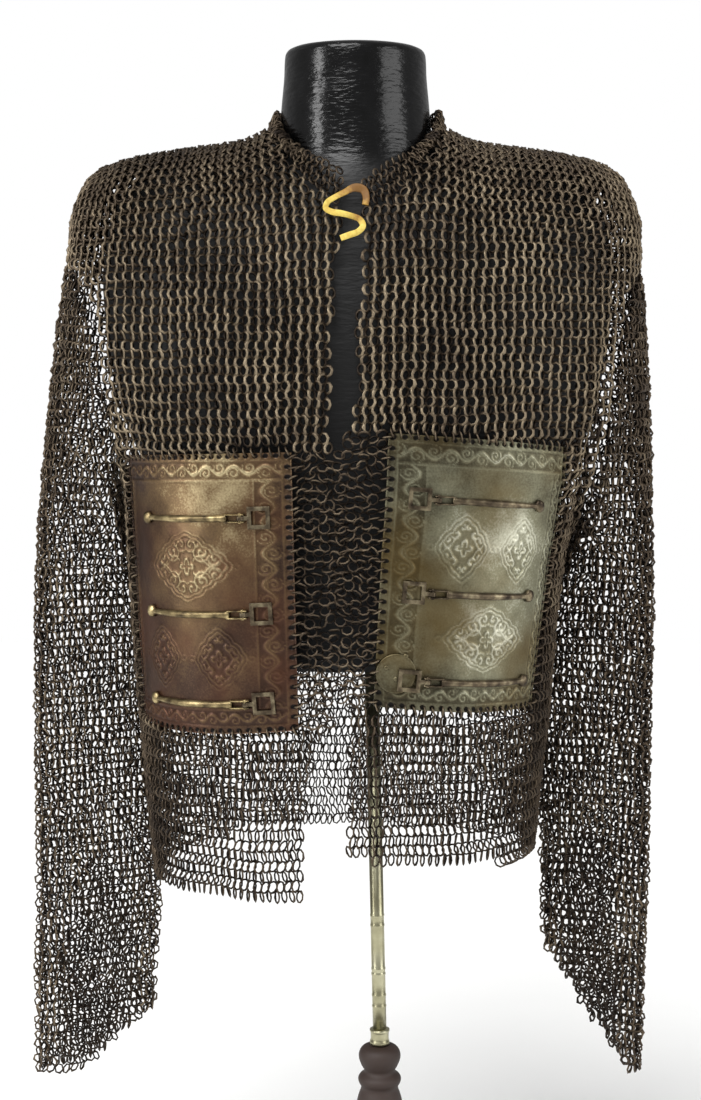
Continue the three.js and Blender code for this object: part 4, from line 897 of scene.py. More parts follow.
def plate_place(side, x, z, height):
    """Point of a plate by its X and Z, off its face by a height."""
    p = PLATE[side]
    down = (p["inner_top"][1] - z) / (p["inner_top"][1] - p["inner_foot"][1])
    level = PLATE_TOP_LEVEL + (PLATE_FOOT_LEVEL - PLATE_TOP_LEVEL) * down
    inner, outer = plate_angles(side, level)
    angle = angle_of_x(side, z, x)
    normal = plate_normal(side, (angle - inner) / (outer - inner), down)
    return body_point(side, FRONT, z, angle) + normal * (PLATE_FACE + np.asarray(height))[..., None], normal


# Turned and smooth pieces

def rounded(profile, times=2):
    """Profile with its corners cut at a quarter and three quarters of each line, several times over."""
    profile = np.array(profile, float)
    for _ in range(times):
        a, b = profile[:-1], profile[1:]
        cut = np.stack([a * 0.75 + b * 0.25, a * 0.25 + b * 0.75], axis=1).reshape(-1, 2)
        profile = np.concatenate([profile[:1], cut, profile[-1:]])
    return profile


def turned(profile, segments, base, axis=(0, 0, 1)):
    """Lathe: a profile of radius and height about an axis from a base point, both ends closed."""
    axis = unit(np.array(axis, float))
    side = unit(np.cross([0, 1, 0], axis))
    other = np.cross(axis, side)
    turn = 2 * np.pi * np.arange(segments) / segments
    spoke = np.cos(turn)[:, None] * side + np.sin(turn)[:, None] * other
    rings = [base + axis * z + spoke * r for r, z in profile]
    return tube(rings)


def form_point(z, turn):
    """Dress form by height and turn: the larger of the trunk's squared ellipse and the round neck."""
    z, turn = np.broadcast_arrays(np.asarray(z, float), np.asarray(turn, float))
    cosine, sine = np.cos(turn), np.sin(turn)
    depth = np.where(sine < 0, lookup(FORM, "front", z), lookup(FORM, "back", z))
    trunk = (np.abs(cosine / lookup(FORM, "width", z)) ** SQUARENESS
             + np.abs(sine / depth) ** SQUARENESS) ** (-1 / SQUARENESS)
    radius = np.maximum(np.where(z < 1060, trunk, 0), lookup(NECK, "radius", z))
    x = lookup(FORM_CENTRE, "x", z) + CENTRE_X
    return np.stack([x + radius * cosine, radius * sine, z], axis=-1)


def curve_through(points, count):
    """Centripetal Catmull-Rom curve: a cubic between points whose knots are the square roots of the gaps."""
    points = np.asarray(points, float)
    ends = np.concatenate([[2 * points[0] - points[1]], points, [2 * points[-1] - points[-2]]])
    gaps = np.sqrt(np.linalg.norm(np.diff(ends, axis=0), axis=1))
    knots = np.concatenate([[0], np.cumsum(gaps)])
    at = np.linspace(knots[1], knots[-2], count)
    i = np.clip(np.searchsorted(knots, at, side="right") - 1, 1, len(points) - 1)
    t0, t1, t2, t3 = (knots[i + k][:, None] for k in (-1, 0, 1, 2))
    p0, p1, p2, p3 = (ends[i + k] for k in (-1, 0, 1, 2))
    t = at[:, None]
    a1 = (t1 - t) / (t1 - t0) * p0 + (t - t0) / (t1 - t0) * p1
    a2 = (t2 - t) / (t2 - t1) * p1 + (t - t1) / (t2 - t1) * p2
    a3 = (t3 - t) / (t3 - t2) * p2 + (t - t2) / (t3 - t2) * p3
    b1 = (t2 - t) / (t2 - t0) * a1 + (t - t0) / (t2 - t0) * a2
    b2 = (t3 - t) / (t3 - t1) * a2 + (t - t1) / (t3 - t1) * a3
    return (t2 - t) / (t2 - t1) * b1 + (t - t1) / (t2 - t1) * b2


# Materials

def hex_colour(code):
    """Linear red, green, blue and alpha of an sRGB hex code."""
    values = [int(code[i:i + 2], 16) / 255 for i in (0, 2, 4)]
    return tuple(v / 12.92 if v <= 0.04045 else ((v + 0.055) / 1.055) ** 2.4 for v in values) + (1.0,)


def add_node(tree, kind, inputs=None, stops=None, **settings):
    """One shader node: settings are its own, inputs are values or sockets to join, stops a ramp's colours."""
    made = tree.nodes.new("ShaderNode" + kind)
    for key, value in settings.items():
        setattr(made, key, value)
    for key, value in (inputs or {}).items():
        if isinstance(value, bpy.types.NodeSocket):
            tree.links.new(value, made.inputs[key])
        else:
            made.inputs[key].default_value = value
    for i, (place, code) in enumerate(stops or ()):
        ramp = made.color_ramp
        stop = ramp.elements[i] if i < 2 else ramp.elements.new(place)
        stop.position = place
        stop.color = hex_colour(code)
    return made


def noise(tree, place, scale, detail):
    """Noise from 0 to 1 at a place, its scale per metre."""
    return add_node(tree, "TexNoise", {"Vector": place, "Scale": scale, "Detail": detail}).outputs["Fac"]


def multiply_add(tree, value, share, added):
    """Value times a share, plus what is added."""
    return add_node(tree, "Math", {0: value, 1: share, 2: added}, operation="MULTIPLY_ADD").outputs[0]


def mixed_colours(tree, amount, first, second):
    """First colour, going over to the second with the amount."""
    return add_node(tree, "Mix", {0: amount, 6: first, 7: second}, data_type="RGBA").outputs[2]


def surface_material(name, build, **shader):
    """Material whose colour, roughness and normal come from build, and the rest from set values."""
    material = bpy.data.materials.new(name)
    material.use_nodes = True
    tree = material.node_tree
    tree.nodes.clear()
    place = add_node(tree, "TexCoord").outputs["Object"]
    inputs = dict(build(tree, place))
    inputs.update(shader)
    principled = add_node(tree, "BsdfPrincipled", inputs)
    add_node(tree, "OutputMaterial", {"Surface": principled.outputs[0]})
    return material


def iron_rings(tree, place):
    """Brown rings with painted shade on their backs and a painted highlight on their crowns, tint and patches
    varying them ring by ring.
    """
    tint = add_node(tree, "Attribute", attribute_name="tint").outputs["Fac"]
    painted_shading = add_node(tree, "Attribute", attribute_name="painted_shading").outputs["Fac"]
    patches = noise(tree, place, 16.0, 3.0)
    grain = noise(tree, place, 1400.0, 2.0)
    # The rings' painted shading lightens their crowns and darkens their backs: painted highlight and shade
    shade = multiply_add(tree, painted_shading, 0.5, -0.02)
    shade = multiply_add(tree, tint, 0.2, shade)
    shade = multiply_add(tree, patches, 0.5, shade)
    stops = [(0.1, "120d09"), (0.98, "8a7c66"), (0.38, "2b221a"), (0.66, "4f4335")]
    colour = add_node(tree, "ValToRGB", {"Fac": shade}, stops=stops).outputs["Color"]
    rough = add_node(tree, "MapRange", {"Value": grain, "To Min": 0.36, "To Max": 0.62}).outputs[0]
    bump = add_node(tree, "Bump", {"Height": grain, "Strength": 0.35, "Distance": 0.0002}).outputs[0]
    return {"Base Color": colour, "Roughness": rough, "Normal": bump}


def ornamented_steel(recess, ground, raised, bright, stain):
    """Steel coloured by its relief: darker in the recesses and paler on the ridges, partly patina and wear and
    partly painted shade and highlight; stained on the ground; holes filled with painted shadow; and a painted
    sheen where the plate's highlight falls."""
    def build(tree, place):
        relief = add_node(tree, "Attribute", attribute_name="relief").outputs["Fac"]
        painted_sheen = add_node(tree, "Attribute", attribute_name="painted_sheen").outputs["Fac"]
        patches = noise(tree, place, 26.0, 6.0)
        stains = noise(tree, place, 11.0, 3.0)
        pits = noise(tree, place, 600.0, 4.0)
        # Relief sets the shade: recesses darker and ridges paler, partly patina and wear, partly painted shade
        # and highlight
        shade = multiply_add(tree, relief, 0.26, 0.02)
        # The painted sheen attribute brightens a soft patch of each plate: a painted highlight
        for layer, share in ((patches, 0.55), (pits, 0.26), (painted_sheen, 0.3)):
            shade = multiply_add(tree, layer, share, shade)
        stops = [(0.3, recess), (0.98, bright), (0.56, ground), (0.78, raised)]
        steel = add_node(tree, "ValToRGB", {"Fac": shade}, stops=stops).outputs["Color"]
        amount = add_node(tree, "MapRange", {"Value": stains, "From Min": 0.46, "From Max": 0.66,
                                             "To Max": 0.7}).outputs[0]
        colour = mixed_colours(tree, amount, steel, hex_colour(stain))
        # Painted shadow: the holes, only dents in the skin, take the recess colour
        depths = {"Value": relief, "From Min": 0.0, "From Max": 0.24, "To Min": 0.96, "To Max": 0.0}
        hole_shadow = add_node(tree, "MapRange", depths).outputs[0]
        colour = mixed_colours(tree, hole_shadow, colour, hex_colour(recess))
        rough = add_node(tree, "MapRange", {"Value": patches, "To Min": 0.24, "To Max": 0.52}).outputs[0]
        bump = add_node(tree, "Bump", {"Height": pits, "Strength": 0.35, "Distance": 0.0002}).outputs[0]
        return {"Base Color": colour, "Roughness": rough, "Normal": bump}
    return build


def mottled(dark, middle, light, scale, rough, depth=0.0001):
    """Even finish with a soft mottle at a scale per metre, its roughness and fine grain following it."""
    def build(tree, place):
        mottle = noise(tree, place, scale, 5.0)
        grain = noise(tree, place, scale * 12, 3.0)
        stops = [(0.3, dark), (0.72, light), (0.5, middle)]
        colour = add_node(tree, "ValToRGB", {"Fac": mottle}, stops=stops).outputs["Color"]
        low, high = rough
        roughness = add_node(tree, "MapRange", {"Value": grain, "To Min": low, "To Max": high}).outputs[0]
        bump = add_node(tree, "Bump", {"Height": grain, "Strength": 0.4, "Distance": depth}).outputs[0]
        return {"Base Color": colour, "Roughness": roughness, "Normal": bump}
    return build


def crinkled_lacquer(tree, place):
    """Black lacquer crinkled in short level creases 2 to 4 mm apart, dull with dust under the coat."""
    flat = add_node(tree, "Mapping", {"Vector": place, "Scale": (0.28, 0.28, 1.0)}).outputs[0]
    creases = noise(tree, flat, 330.0, 3.0)
    dust = noise(tree, place, 60.0, 4.0)
    height = add_node(tree, "SeparateXYZ", {"Vector": place}).outputs["Z"]
    stops = [(0.3, "030303"), (0.8, "0a0a0b")]
    colour = add_node(tree, "ValToRGB", {"Fac": dust}, stops=stops).outputs["Color"]
    dull = add_node(tree, "MapRange", {"Value": height, "From Min": 1.0, "From Max": 1.03, "To Min": 0.5,
                                       "To Max": 0.12}).outputs[0]
    rough = multiply_add(tree, dust, 0.14, dull)
    bump = add_node(tree, "Bump", {"Height": creases, "Strength": 0.8, "Distance": 0.001}).outputs[0]
    return {"Base Color": colour, "Roughness": rough, "Normal": bump}


def streaked_leather(tree, place):
    """Yellow leather with a streaked grain 1 mm across, brown where its attribute says: painted shade over the
    first stretch and a short darker spot further along.
    """
    darker_stretches = add_node(tree, "Attribute", attribute_name="darker_stretches").outputs["Fac"]
    streaks = noise(tree, place, 420.0, 4.0)
    patches = noise(tree, place, 120.0, 2.0)
    shade = multiply_add(tree, streaks, 0.45, darker_stretches)
    shade = multiply_add(tree, patches, 0.4, shade)
    stops = [(0.22, "e0cb68"), (1.0, "6e4a16"), (0.5, "c2a648"), (0.8, "96702a")]
    colour = add_node(tree, "ValToRGB", {"Fac": shade}, stops=stops).outputs["Color"]
    rough = add_node(tree, "MapRange", {"Value": streaks, "To Min": 0.5, "To Max": 0.75}).outputs[0]
    bump = add_node(tree, "Bump", {"Height": streaks, "Strength": 0.5, "Distance": 0.0004}).outputs[0]
    return {"Base Color": colour, "Roughness": rough, "Normal": bump}


def turned_wood(tree, place):
    """Dark polished wood: grain drawn out along the upright, with fine pores."""
    grown = add_node(tree, "Mapping", {"Vector": place, "Scale": (1.0, 1.0, 0.08)}).outputs[0]
    grain = noise(tree, grown, 260.0, 5.0)
    stops = [(0.3, "190d09"), (0.75, "4a2a1c"), (0.52, "2e1810")]
    colour = add_node(tree, "ValToRGB", {"Fac": grain}, stops=stops).outputs["Color"]
    rough = add_node(tree, "MapRange", {"Value": grain, "To Min": 0.28, "To Max": 0.42}).outputs[0]
    bump = add_node(tree, "Bump", {"Height": grain, "Strength": 0.2, "Distance": 0.0002}).outputs[0]
    return {"Base Color": colour, "Roughness": rough, "Normal": bump}


MATERIALS = {
    # Dry browned iron, each ring a little different, with painted shade on the rings' backs and a painted
    # highlight on their crowns
    "browned_iron": lambda name: surface_material(name, iron_rings, Metallic=0.7),
    # Steel russeted red-brown, with a painted olive sheen near its top and on the ridges
    "russet_steel": lambda name: surface_material(
        name, ornamented_steel("0a0706", "3c2b21", "675339", "b0a17c", "4f3020"), Metallic=0.76),
    # Grey steel under a yellow-brown patina, pale on the ridges and brown in the recesses, partly patina and
    # partly painted highlight and shade, with a painted sheen across its middle
    "patinated_grey_steel": lambda name: surface_material(
        name, ornamented_steel("0c0906", "423d2d", "76745f", "c2c1ae", "54431f"), Metallic=0.78),
    # Iron with worn brass on it, satin and a little pitted
    "worn_brass": lambda name: surface_material(
        name, mottled("3a3022", "7a6b4c", "b9a87c", 120.0, (0.26, 0.42)), Metallic=0.9),
    # Iron browned by age, its edges rubbed to a dull grey
    "browned_clasp_iron": lambda name: surface_material(
        name, mottled("2a221a", "574c3c", "8f846a", 130.0, (0.3, 0.48)), Metallic=0.85),
    # Yellow leather, matt, orange-brown in painted shade over its first stretch and in a short spot further
    # along
    "yellow_leather": lambda name: surface_material(name, streaked_leather),
    # Black lacquer, glossy, its level creases breaking up what it reflects
    "black_lacquer": lambda name: surface_material(name, crinkled_lacquer, **{"Specular IOR Level": 0.32}),
    # Nickel plate gone yellowish, smooth and still bright
    "aged_nickel": lambda name: surface_material(
        name, mottled("88846a", "a09c80", "b6b398", 40.0, (0.28, 0.4), 0.00003), Metallic=1.0),
    # Dark reddish wood under polish
    "dark_wood": lambda name: surface_material(name, turned_wood, **{"Coat Weight": 0.35}),
    # Seamless pale paper, only just off white
    "pale_floor": lambda name: surface_material(
        name, mottled("f6f6f5", "f8f8f7", "fafaf9", 3.0, (0.7, 0.85), 0.00002)),
}


def material(name):
    """Material by its finish, made once."""
    return bpy.data.materials.get(name) or MATERIALS[name](name)


# Settings shown in the panel

class MailSettings(PropertyGroup):
    body_ring: FloatProperty(name="Body ring", description="Body ring's outside diameter in mm",
                             default=11.4, min=8.0, max=14.0)
    body_wire: FloatProperty(name="Body wire", description="Body ring's wire in mm",
                             default=2.3, min=1.0, max=2.8)
    body_pitch: FloatProperty(name="Body pitch", description="Gap between rings of a row in mm",
                              default=8.2, min=6.0, max=12.0)
    body_row: FloatProperty(name="Body row", description="Gap between rows in mm",
                            default=6.9, min=5.0, max=12.0)
    sleeve_ring: FloatProperty(name="Sleeve ring", description="Sleeve ring's outside diameter in mm",
                               default=10.0, min=6.0, max=12.0)
    sleeve_wire: FloatProperty(name="Sleeve wire", description="Sleeve ring's wire in mm",
                               default=1.7, min=0.8, max=2.4)
    sleeve_pitch: FloatProperty(name="Sleeve pitch", description="Gap between sleeve rings of a row in mm",
                                default=6.3, min=4.0, max=9.0)
    sleeve_row: FloatProperty(name="Sleeve row", description="Gap between sleeve rows in mm",
                              default=7.3, min=4.0, max=9.0)
    edge_ring: FloatProperty(name="Edge ring",
                             description="Diameter of the rings through a plate's edge in mm",
                             default=9.2, min=6.0, max=12.0)
    lean: FloatProperty(name="Lean", description="How far rings lean about the downward line",
                        default=math.radians(46.0), subtype="ANGLE", unit="ROTATION")
    seed: IntProperty(name="Seed", description="Start of the rings' small differences", default=11, min=0)


class PlateSettings(PropertyGroup):
    step: FloatProperty(name="Step", description="Size of a plate's mesh cell in mm",
                        default=0.98, min=0.8, max=4.0)
    relief: FloatProperty(name="Relief", description="Depth of a plate's ornament in mm", default=1.15,
                          min=0.1, max=1.2)
    softening: FloatProperty(name="Softening", description="Width of a clasp frame's worn edges in mm",
                             default=0.35, min=0.1, max=0.8)


class StageSettings(PropertyGroup):
    lens: FloatProperty(name="Lens", description="Camera's focal length in mm",
                        default=63.2, min=20.0, max=200.0)
    tilt: FloatProperty(name="Tilt", description="How far the camera looks down", default=math.radians(5.9),
                        subtype="ANGLE", unit="ROTATION")
    place: FloatVectorProperty(name="Place", description="Camera's place", default=(0.00855, -1.7, 0.8625),
                               subtype="TRANSLATION", unit="LENGTH")
    key: FloatProperty(name="Key", description="Strength of the high soft light", default=3.0, min=0.0)
    strips: FloatProperty(name="Strips", description="Power of the two tall side lights in watts",
                          default=16.0, min=0.0)
    air: FloatProperty(name="Surroundings", description="Light given by the pale surroundings", default=0.36,
                       min=0.0)


LIT_POINT = (0.0, 0.0, 0.75)
# Wire of the back's rings as a share of the fronts'
BACK_WIRE = 0.91
SLEEVE_SPLIT_Z = 560.0
# Wire and brightness of each sleeve's rings, as shares
SLEEVE_WIRE = {RIGHT: 1.0, LEFT: 1.16}
SLEEVE_SHADE = {RIGHT: 0.7, LEFT: 0.55}
COLLAR_ROWS = 5
# Collar ring's diameter less than the body's in mm, and its pitch and wire radius as shares of the body's
COLLAR_SMALLER = 2.5
COLLAR_PITCH = 0.82
COLLAR_WIRE = 0.42
COLLAR_SHADE = 0.6
EDGE_MARGIN = 4.0
HEM_MARGIN = 4.6
WINDOW_MARGIN = 4.6
STRIP_COLUMNS = 7
STRIP_START = 5.0
STRIP_STEP = 6.3
STRIP_PITCH = 8.6
STRIP_MARGIN = -2.5
PLATE_GAP = 0.6
UNDER_ROWS = 18


class BuildFronts(Operator):
    """Two fronts of riveted rings with the rings that hold the plates"""
    bl_idname = "coat.build_fronts"
    bl_label = "Mail fronts"

    def execute(self, context):
        mail = context.scene.coat_mail
        size = (mail.body_ring, mail.body_wire)
        for side in SIDES:
            surface = front_surface(side)
            places = front_places(side, mail)
            strip = strip_places(side, mail)
            clouds = [
                rings_on(surface, places, from_body_axis, size, mail, mail.seed + side, segments=8),
                rings_on(surface, strip, from_body_axis, (mail.body_ring - 0.6, mail.body_wire * 0.66), mail,
                         mail.seed + 2 + side, segments=8, sideways=True, unevenness=3.2, shade=0.6),
                plate_edge_rings(side, mail, mail.seed + 4 + side),
            ]
            add_mail("mail_front_" + WORD[side], clouds, material("browned_iron"), "front_" + WORD[side])
        return {"FINISHED"}


class BuildBack(Operator):
    """Back of riveted rings, open only at its hem and neck"""
    bl_idname = "coat.build_back"
    bl_label = "Mail back"

    def execute(self, context):
        mail = context.scene.coat_mail
        size = (mail.body_ring, mail.body_wire * BACK_WIRE)

        def line(level):
            return back_point(level, angle_of_x(LEFT, level, 150))

        low = min(HEM[BACK, RIGHT] + HEM[BACK, LEFT])
        levels = spaced_levels(line, low, 1020.0, mail.body_row, hanging=True)
        pitch = mail.body_pitch * lookup(HANG, "pitch", levels)
        ends = [np.radians(lookup(BODY, "turn_" + letter, levels)) for letter in "rl"]
        places = row_places(back_point, levels, -ends[0], ends[1], 0 * levels, pitch, EDGE_MARGIN)
        level, angle, _ = places.T
        point = back_point(level, angle)
        turn = np.radians(np.where(angle < 0, lookup(BODY, "turn_r", level), lookup(BODY, "turn_l", level)))
        share = np.abs(angle) / turn
        hem = np.where(angle < 0, hem_at(BACK, RIGHT, share), hem_at(BACK, LEFT, share))
        places = places[point[:, 2] > hem + HEM_MARGIN]
        for side in SIDES:
            half = places[places[:, 1] * side > 0] if side == RIGHT else places[places[:, 1] >= 0]
            cloud = rings_on(back_point, half, from_body_axis, size, mail, mail.seed + 8 + side)
            add_mail("mail_back_" + WORD[side], [cloud], material("browned_iron"), "back")
        return {"FINISHED"}


class BuildSleeves(Operator):
    """Two hanging sleeves of smaller rings"""
    bl_idname = "coat.build_sleeves"
    bl_label = "Mail sleeves"

    def execute(self, context):
        mail = context.scene.coat_mail
        for side in SIDES:
            size = (mail.sleeve_ring, mail.sleeve_wire * SLEEVE_WIRE[side])

            def surface(z, angle):
                return sleeve_point(side, z, angle)

            def outward(points):
                return (points - [side * 222 + CENTRE_X, 15, 0]) * [1, 1, 0]

            levels = spaced_levels(lambda z: surface(z, 0 * z), CUFF[side][0], 936.0, mail.sleeve_row)
            whole = np.full(len(levels), np.pi)
            places = row_places(surface, levels, -whole, whole, 0 * levels, mail.sleeve_pitch, 1.5)
            z, angle, _ = places.T
            point = surface(z, angle)
            low, high, start, end = CUFF[side]
            inwards = np.clip((start - np.abs(point[:, 0] - CENTRE_X)) / (start - end), 0, 1)
            cuff = low + (high - low) * inwards
            top = loop_point(side, angle)[:, 2]
            places = places[(z > cuff + 3.4) & (z < top - 2.6)]
            upper = places[:, 0] >= SLEEVE_SPLIT_Z
            for part, inside in (("upper", upper), ("lower", ~upper)):
                cloud = rings_on(surface, places[inside], outward, size, mail, mail.seed + 12 + side,
                                 unevenness=2.0, shade=SLEEVE_SHADE[side])
                add_mail("mail_sleeve_%s_%s" % (WORD[side], part), [cloud], material("browned_iron"),
                         "sleeve_" + WORD[side])
        return {"FINISHED"}


def collar_point(rise, along):
    """Collar by shares up and along: straight lines from the neckline to the top edge's curve round the
    neck, the neckline running up one front, round the nape and down the other."""
    rise, along = np.broadcast_arrays(np.asarray(rise, float), np.asarray(along, float))
    foot = np.stack([np.interp(along, NECKLINE[0], NECKLINE[1][:, k]) for k in range(3)], axis=-1)
    x = foot[..., 0] - CENTRE_X - COLLAR_CENTRE_X
    angle = np.arctan2(x, -foot[..., 1])
    turned_by = np.degrees(np.abs(angle))
    radius = lookup(COLLAR, "radius", turned_by)
    z = lookup(COLLAR, "z", turned_by)
    top = np.stack([COLLAR_CENTRE_X + CENTRE_X + radius * np.sin(angle), -radius * np.cos(angle), z], axis=-1)
    return foot + (top - foot) * rise[..., None]


def neckline():
    """Shares along and points of the line that the collar stands on."""
    levels = np.linspace(NECKLINE_FROM_Z, 1019.5, 60)
    fronts = []
    for side in SIDES:
        edge = lookup(BODY, "edge_" + side_letter(side), levels)
        fronts.append(body_point(side, FRONT, levels, angle_of_x(side, levels, edge)))
    out = np.linspace(-NECK_HALF_WIDTH + 0.5, NECK_HALF_WIDTH - 0.5, 80)
    angle = np.arcsin((np.abs(out) / 216.0) ** (SQUARENESS / 2)) * np.sign(out)
    line = np.concatenate([fronts[0], back_point(1020.0, angle), fronts[1][::-1]])
    length = np.concatenate([[0], np.cumsum(np.linalg.norm(np.diff(line, axis=0), axis=1))])
    return length / length[-1], line


NECKLINE = neckline()


class BuildCollar(Operator):
    """Standing collar of small rings in close rows"""
    bl_idname = "coat.build_collar"
    bl_label = "Mail collar"

    def execute(self, context):
        mail = context.scene.coat_mail
        rises = (np.arange(COLLAR_ROWS) + 0.55) / (COLLAR_ROWS + 0.1)
        whole = np.ones(COLLAR_ROWS)
        pitch = mail.body_pitch * COLLAR_PITCH
        places = row_places(collar_point, rises, 0 * whole, whole, 0.5 * whole, pitch, 3.4)
        rise, along, row = places.T
        step = 0.04
        up = collar_point(rise + step, along) - collar_point(rise - step, along)
        ahead = collar_point(rise, along + step / 8) - collar_point(rise, along - step / 8)
        downs = unit(-up)
        normals = unit(np.cross(ahead, downs))
        centres = collar_point(rise, along)
        outwards = (centres - [COLLAR_CENTRE_X + CENTRE_X, 0, 0]) * [1, 1, 0]
        normals = normals * np.where(np.sum(normals * outwards, axis=1) < 0, -1.0, 1.0)[:, None]
        leans = np.where(row % 2 > 0, mail.lean, -mail.lean) * 1.1
        radius = (mail.body_ring - COLLAR_SMALLER - mail.body_wire) / 2
        cloud = ring_cloud(centres, normals, downs, leans, radius, mail.body_wire * COLLAR_WIRE, 8,
                           mail.seed + 16, facing=normals, unevenness=2.0, shade=COLLAR_SHADE)
        add_mail("mail_collar", [cloud], material("browned_iron"), "collar")
        return {"FINISHED"}


class BuildPlates(Operator):
    """Two curved belly plates with raised scrollwork"""
    bl_idname = "coat.build_plates"
    bl_label = "Belly plates"

    def execute(self, context):
        finish = {RIGHT: ("russet_steel", "russet_plate"), LEFT: ("patinated_grey_steel", "grey_plate")}
        for side in SIDES:
            points, faces, (relief, painted_sheen) = keep_used(*plate_mesh(side, context.scene.coat_plates))
            plate = mesh_object("belly_plate_" + WORD[side], points, faces, material(finish[side][0]),
                                attributes={"relief": relief, "painted_sheen": painted_sheen})
            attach(plate, "coat")
            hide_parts("plate_" + WORD[side])
        return {"FINISHED"}


BAR = [
    [56.0, 7.6, 3.6], [62.0, 5.6, 3.6], [71.0, 5.5, 3.7], [80.0, 5.6, 3.8], [88.0, 5.9, 4.0], [96.0, 6.2, 4.2],
    [104.0, 5.9, 4.0], [112.0, 5.4, 3.8], [119.0, 4.9, 3.5], [126.0, 4.4, 3.2], [130.0, 4.8, 3.2],
    [132.0, 9.5, 3.8], [135.0, 10.5, 4.4], [138.0, 8.0, 3.0]]
PIN_AT, PIN_RADIUS, PIN_HEIGHT = 44.5, 1.1, 3.4
FRAME_FAR = 19.5
FORK_TIP, FORK_ROOT, FORK_SLOT = 41.0, 57.0, 4.2
PRONG_WIDTH, PRONG_HEIGHT = 1.8, 4.9
BAR_CLEARANCE = 0.45


class BuildBars(Operator):
    """Six bars with their forks and pins, riveted over the plates"""
    bl_idname = "coat.build_bars"
    bl_label = "Clasp bars"

    def execute(self, context):
        aside = (FORK_SLOT + PRONG_WIDTH) / 2
        stations = [[FORK_TIP, PRONG_WIDTH, PRONG_HEIGHT - 0.8], [FORK_TIP + 1, PRONG_WIDTH, PRONG_HEIGHT],
                    [PIN_AT + 3, PRONG_WIDTH, PRONG_HEIGHT], [FORK_ROOT + 1, PRONG_WIDTH, 3.4]]
        prong = smooth_stations(stations, 1.0)
        for side in SIDES:
            for i, down in enumerate(CLASP_SHARES):
                pin, _, d, n = clasp_frame(side, down)
                middle = pin + n * PIN_HEIGHT
                reach = d * aside
                parts = [half_round(side, down, smooth_stations(BAR, 1.2), 0),
                         half_round(side, down, prong, aside, 7),
                         half_round(side, down, prong, -aside, 7),
                         cylinder_between(middle - reach, middle + reach, PIN_RADIUS)]
                for sign in (-1, 1):
                    parts.append(dome(middle + reach * sign * 1.28, d * sign, 1.7, 0.7, 14))
                points, faces = joined(parts)
                name = "%s_%d" % (WORD[side], i + 1)
                finish = "worn_brass" if side == RIGHT else "browned_clasp_iron"
                bar = mesh_object("clasp_bar_worn_" + name, points, faces, material(finish))
                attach(bar, "coat")
                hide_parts("clasp_bar_" + name)
        return {"FINISHED"}


class BuildFrames(Operator):
    """Six hinged square frames with worn edges"""
    bl_idname = "coat.build_frames"
    bl_label = "Clasp frames"

    def execute(self, context):
        width = context.scene.coat_plates.softening * MM
        for side in SIDES:
            for i in range(len(CLASP_SHARES)):
                name = "%s_%d" % (WORD[side], i + 1)
                mesh = bpy.data.meshes.new("clasp_frame_worn_" + name)
                shape = bmesh.new()
                shape.from_mesh(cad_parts["clasp_frame_" + name].data)
                bmesh.ops.remove_doubles(shape, verts=shape.verts[:], dist=0.00002)
                bmesh.ops.dissolve_limit(shape, angle_limit=math.radians(4), verts=shape.verts[:],
                                         edges=shape.edges[:])
                sharp = [e for e in shape.edges if e.calc_face_angle(0) > math.radians(50)]
                bmesh.ops.bevel(shape, geom=sharp, offset=width, segments=2, profile=0.6, affect="EDGES",
                                clamp_overlap=True)
                bmesh.ops.recalc_face_normals(shape, faces=shape.faces[:])
                shape.to_mesh(mesh)
                shape.free()
                mesh.materials.clear()
                mesh.materials.append(material("browned_clasp_iron"))
                piece = bpy.data.objects.new(mesh.name, mesh)
                context.scene.collection.objects.link(piece)
                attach(piece, "buckle_" + name)
                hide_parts("clasp_frame_" + name)
        return {"FINISHED"}


PATCH_RIM = [(0.0, 0.25), (0.30, 0.25), (0.62, 0.35), (0.80, 0.42), (0.86, 1.0), (0.94, 1.1), (1.0, 0.8),
             (1.0, 0.1), (0.96, 0.0), (0.55, 0.0), (0.0, 0.0)]
PATCH_RIVETS = ((50.9, 611.6), (34.9, 602.1), (42.9, 592.6))


class BuildPatch(Operator):
    """Round riveted patch over the left plate's lower inner corner"""
    bl_idname = "coat.build_patch"
    bl_label = "Patch"

    def execute(self, context):
        turn = 2 * np.pi * np.arange(64) / 64
        rings = []
        for share, height in PATCH_RIM:
            radius = max(share, 0.02) * PATCH_RADIUS
            x = PATCH_AT[0] + radius * np.cos(turn)
            z = PATCH_AT[1] + radius * np.sin(turn)
            rings.append(plate_place(LEFT, x, z, BAR_CLEARANCE + height + 0 * x)[0])
        parts = [tube(rings)]
        for x, z in PATCH_RIVETS:
            point, normal = plate_place(LEFT, np.array([x]), np.array([z]), np.array([BAR_CLEARANCE + 0.3]))
            parts.append(dome(point[0], normal[0], 2.4, 1.2))
        points, faces = joined(parts)
        # A little painted sheen on the patch
        attributes = {"relief": np.full(len(points), 0.5), "painted_sheen": np.full(len(points), 0.2)}
        patch = mesh_object("patch_worn", points, faces, material("patinated_grey_steel"),
                            attributes=attributes)
        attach(patch, "coat")
        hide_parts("patch")
        return {"FINISHED"}


THONG = [
    (17.5, 980.5, 3.6), (18.3, 986.5, 4.0), (16.0, 993.0, 4.8), (9.0, 994.8, 5.6), (1.0, 991.0, 6.2),
    (-7.0, 986.8, 6.6), (-13.2, 982.6, 6.2), (-14.6, 977.6, 5.6), (-9.4, 974.6, 5.2), (-2.0, 973.4, 5.0),
    (6.0, 971.4, 5.0), (13.0, 968.4, 5.2), (15.6, 963.0, 5.4), (11.6, 958.4, 5.2), (4.6, 955.8, 4.8),
    (-2.6, 953.2, 4.2)]
MAIL_WALL = 3.5
THONG_WIDTH, THONG_THICKNESS = 5.2, 1.9


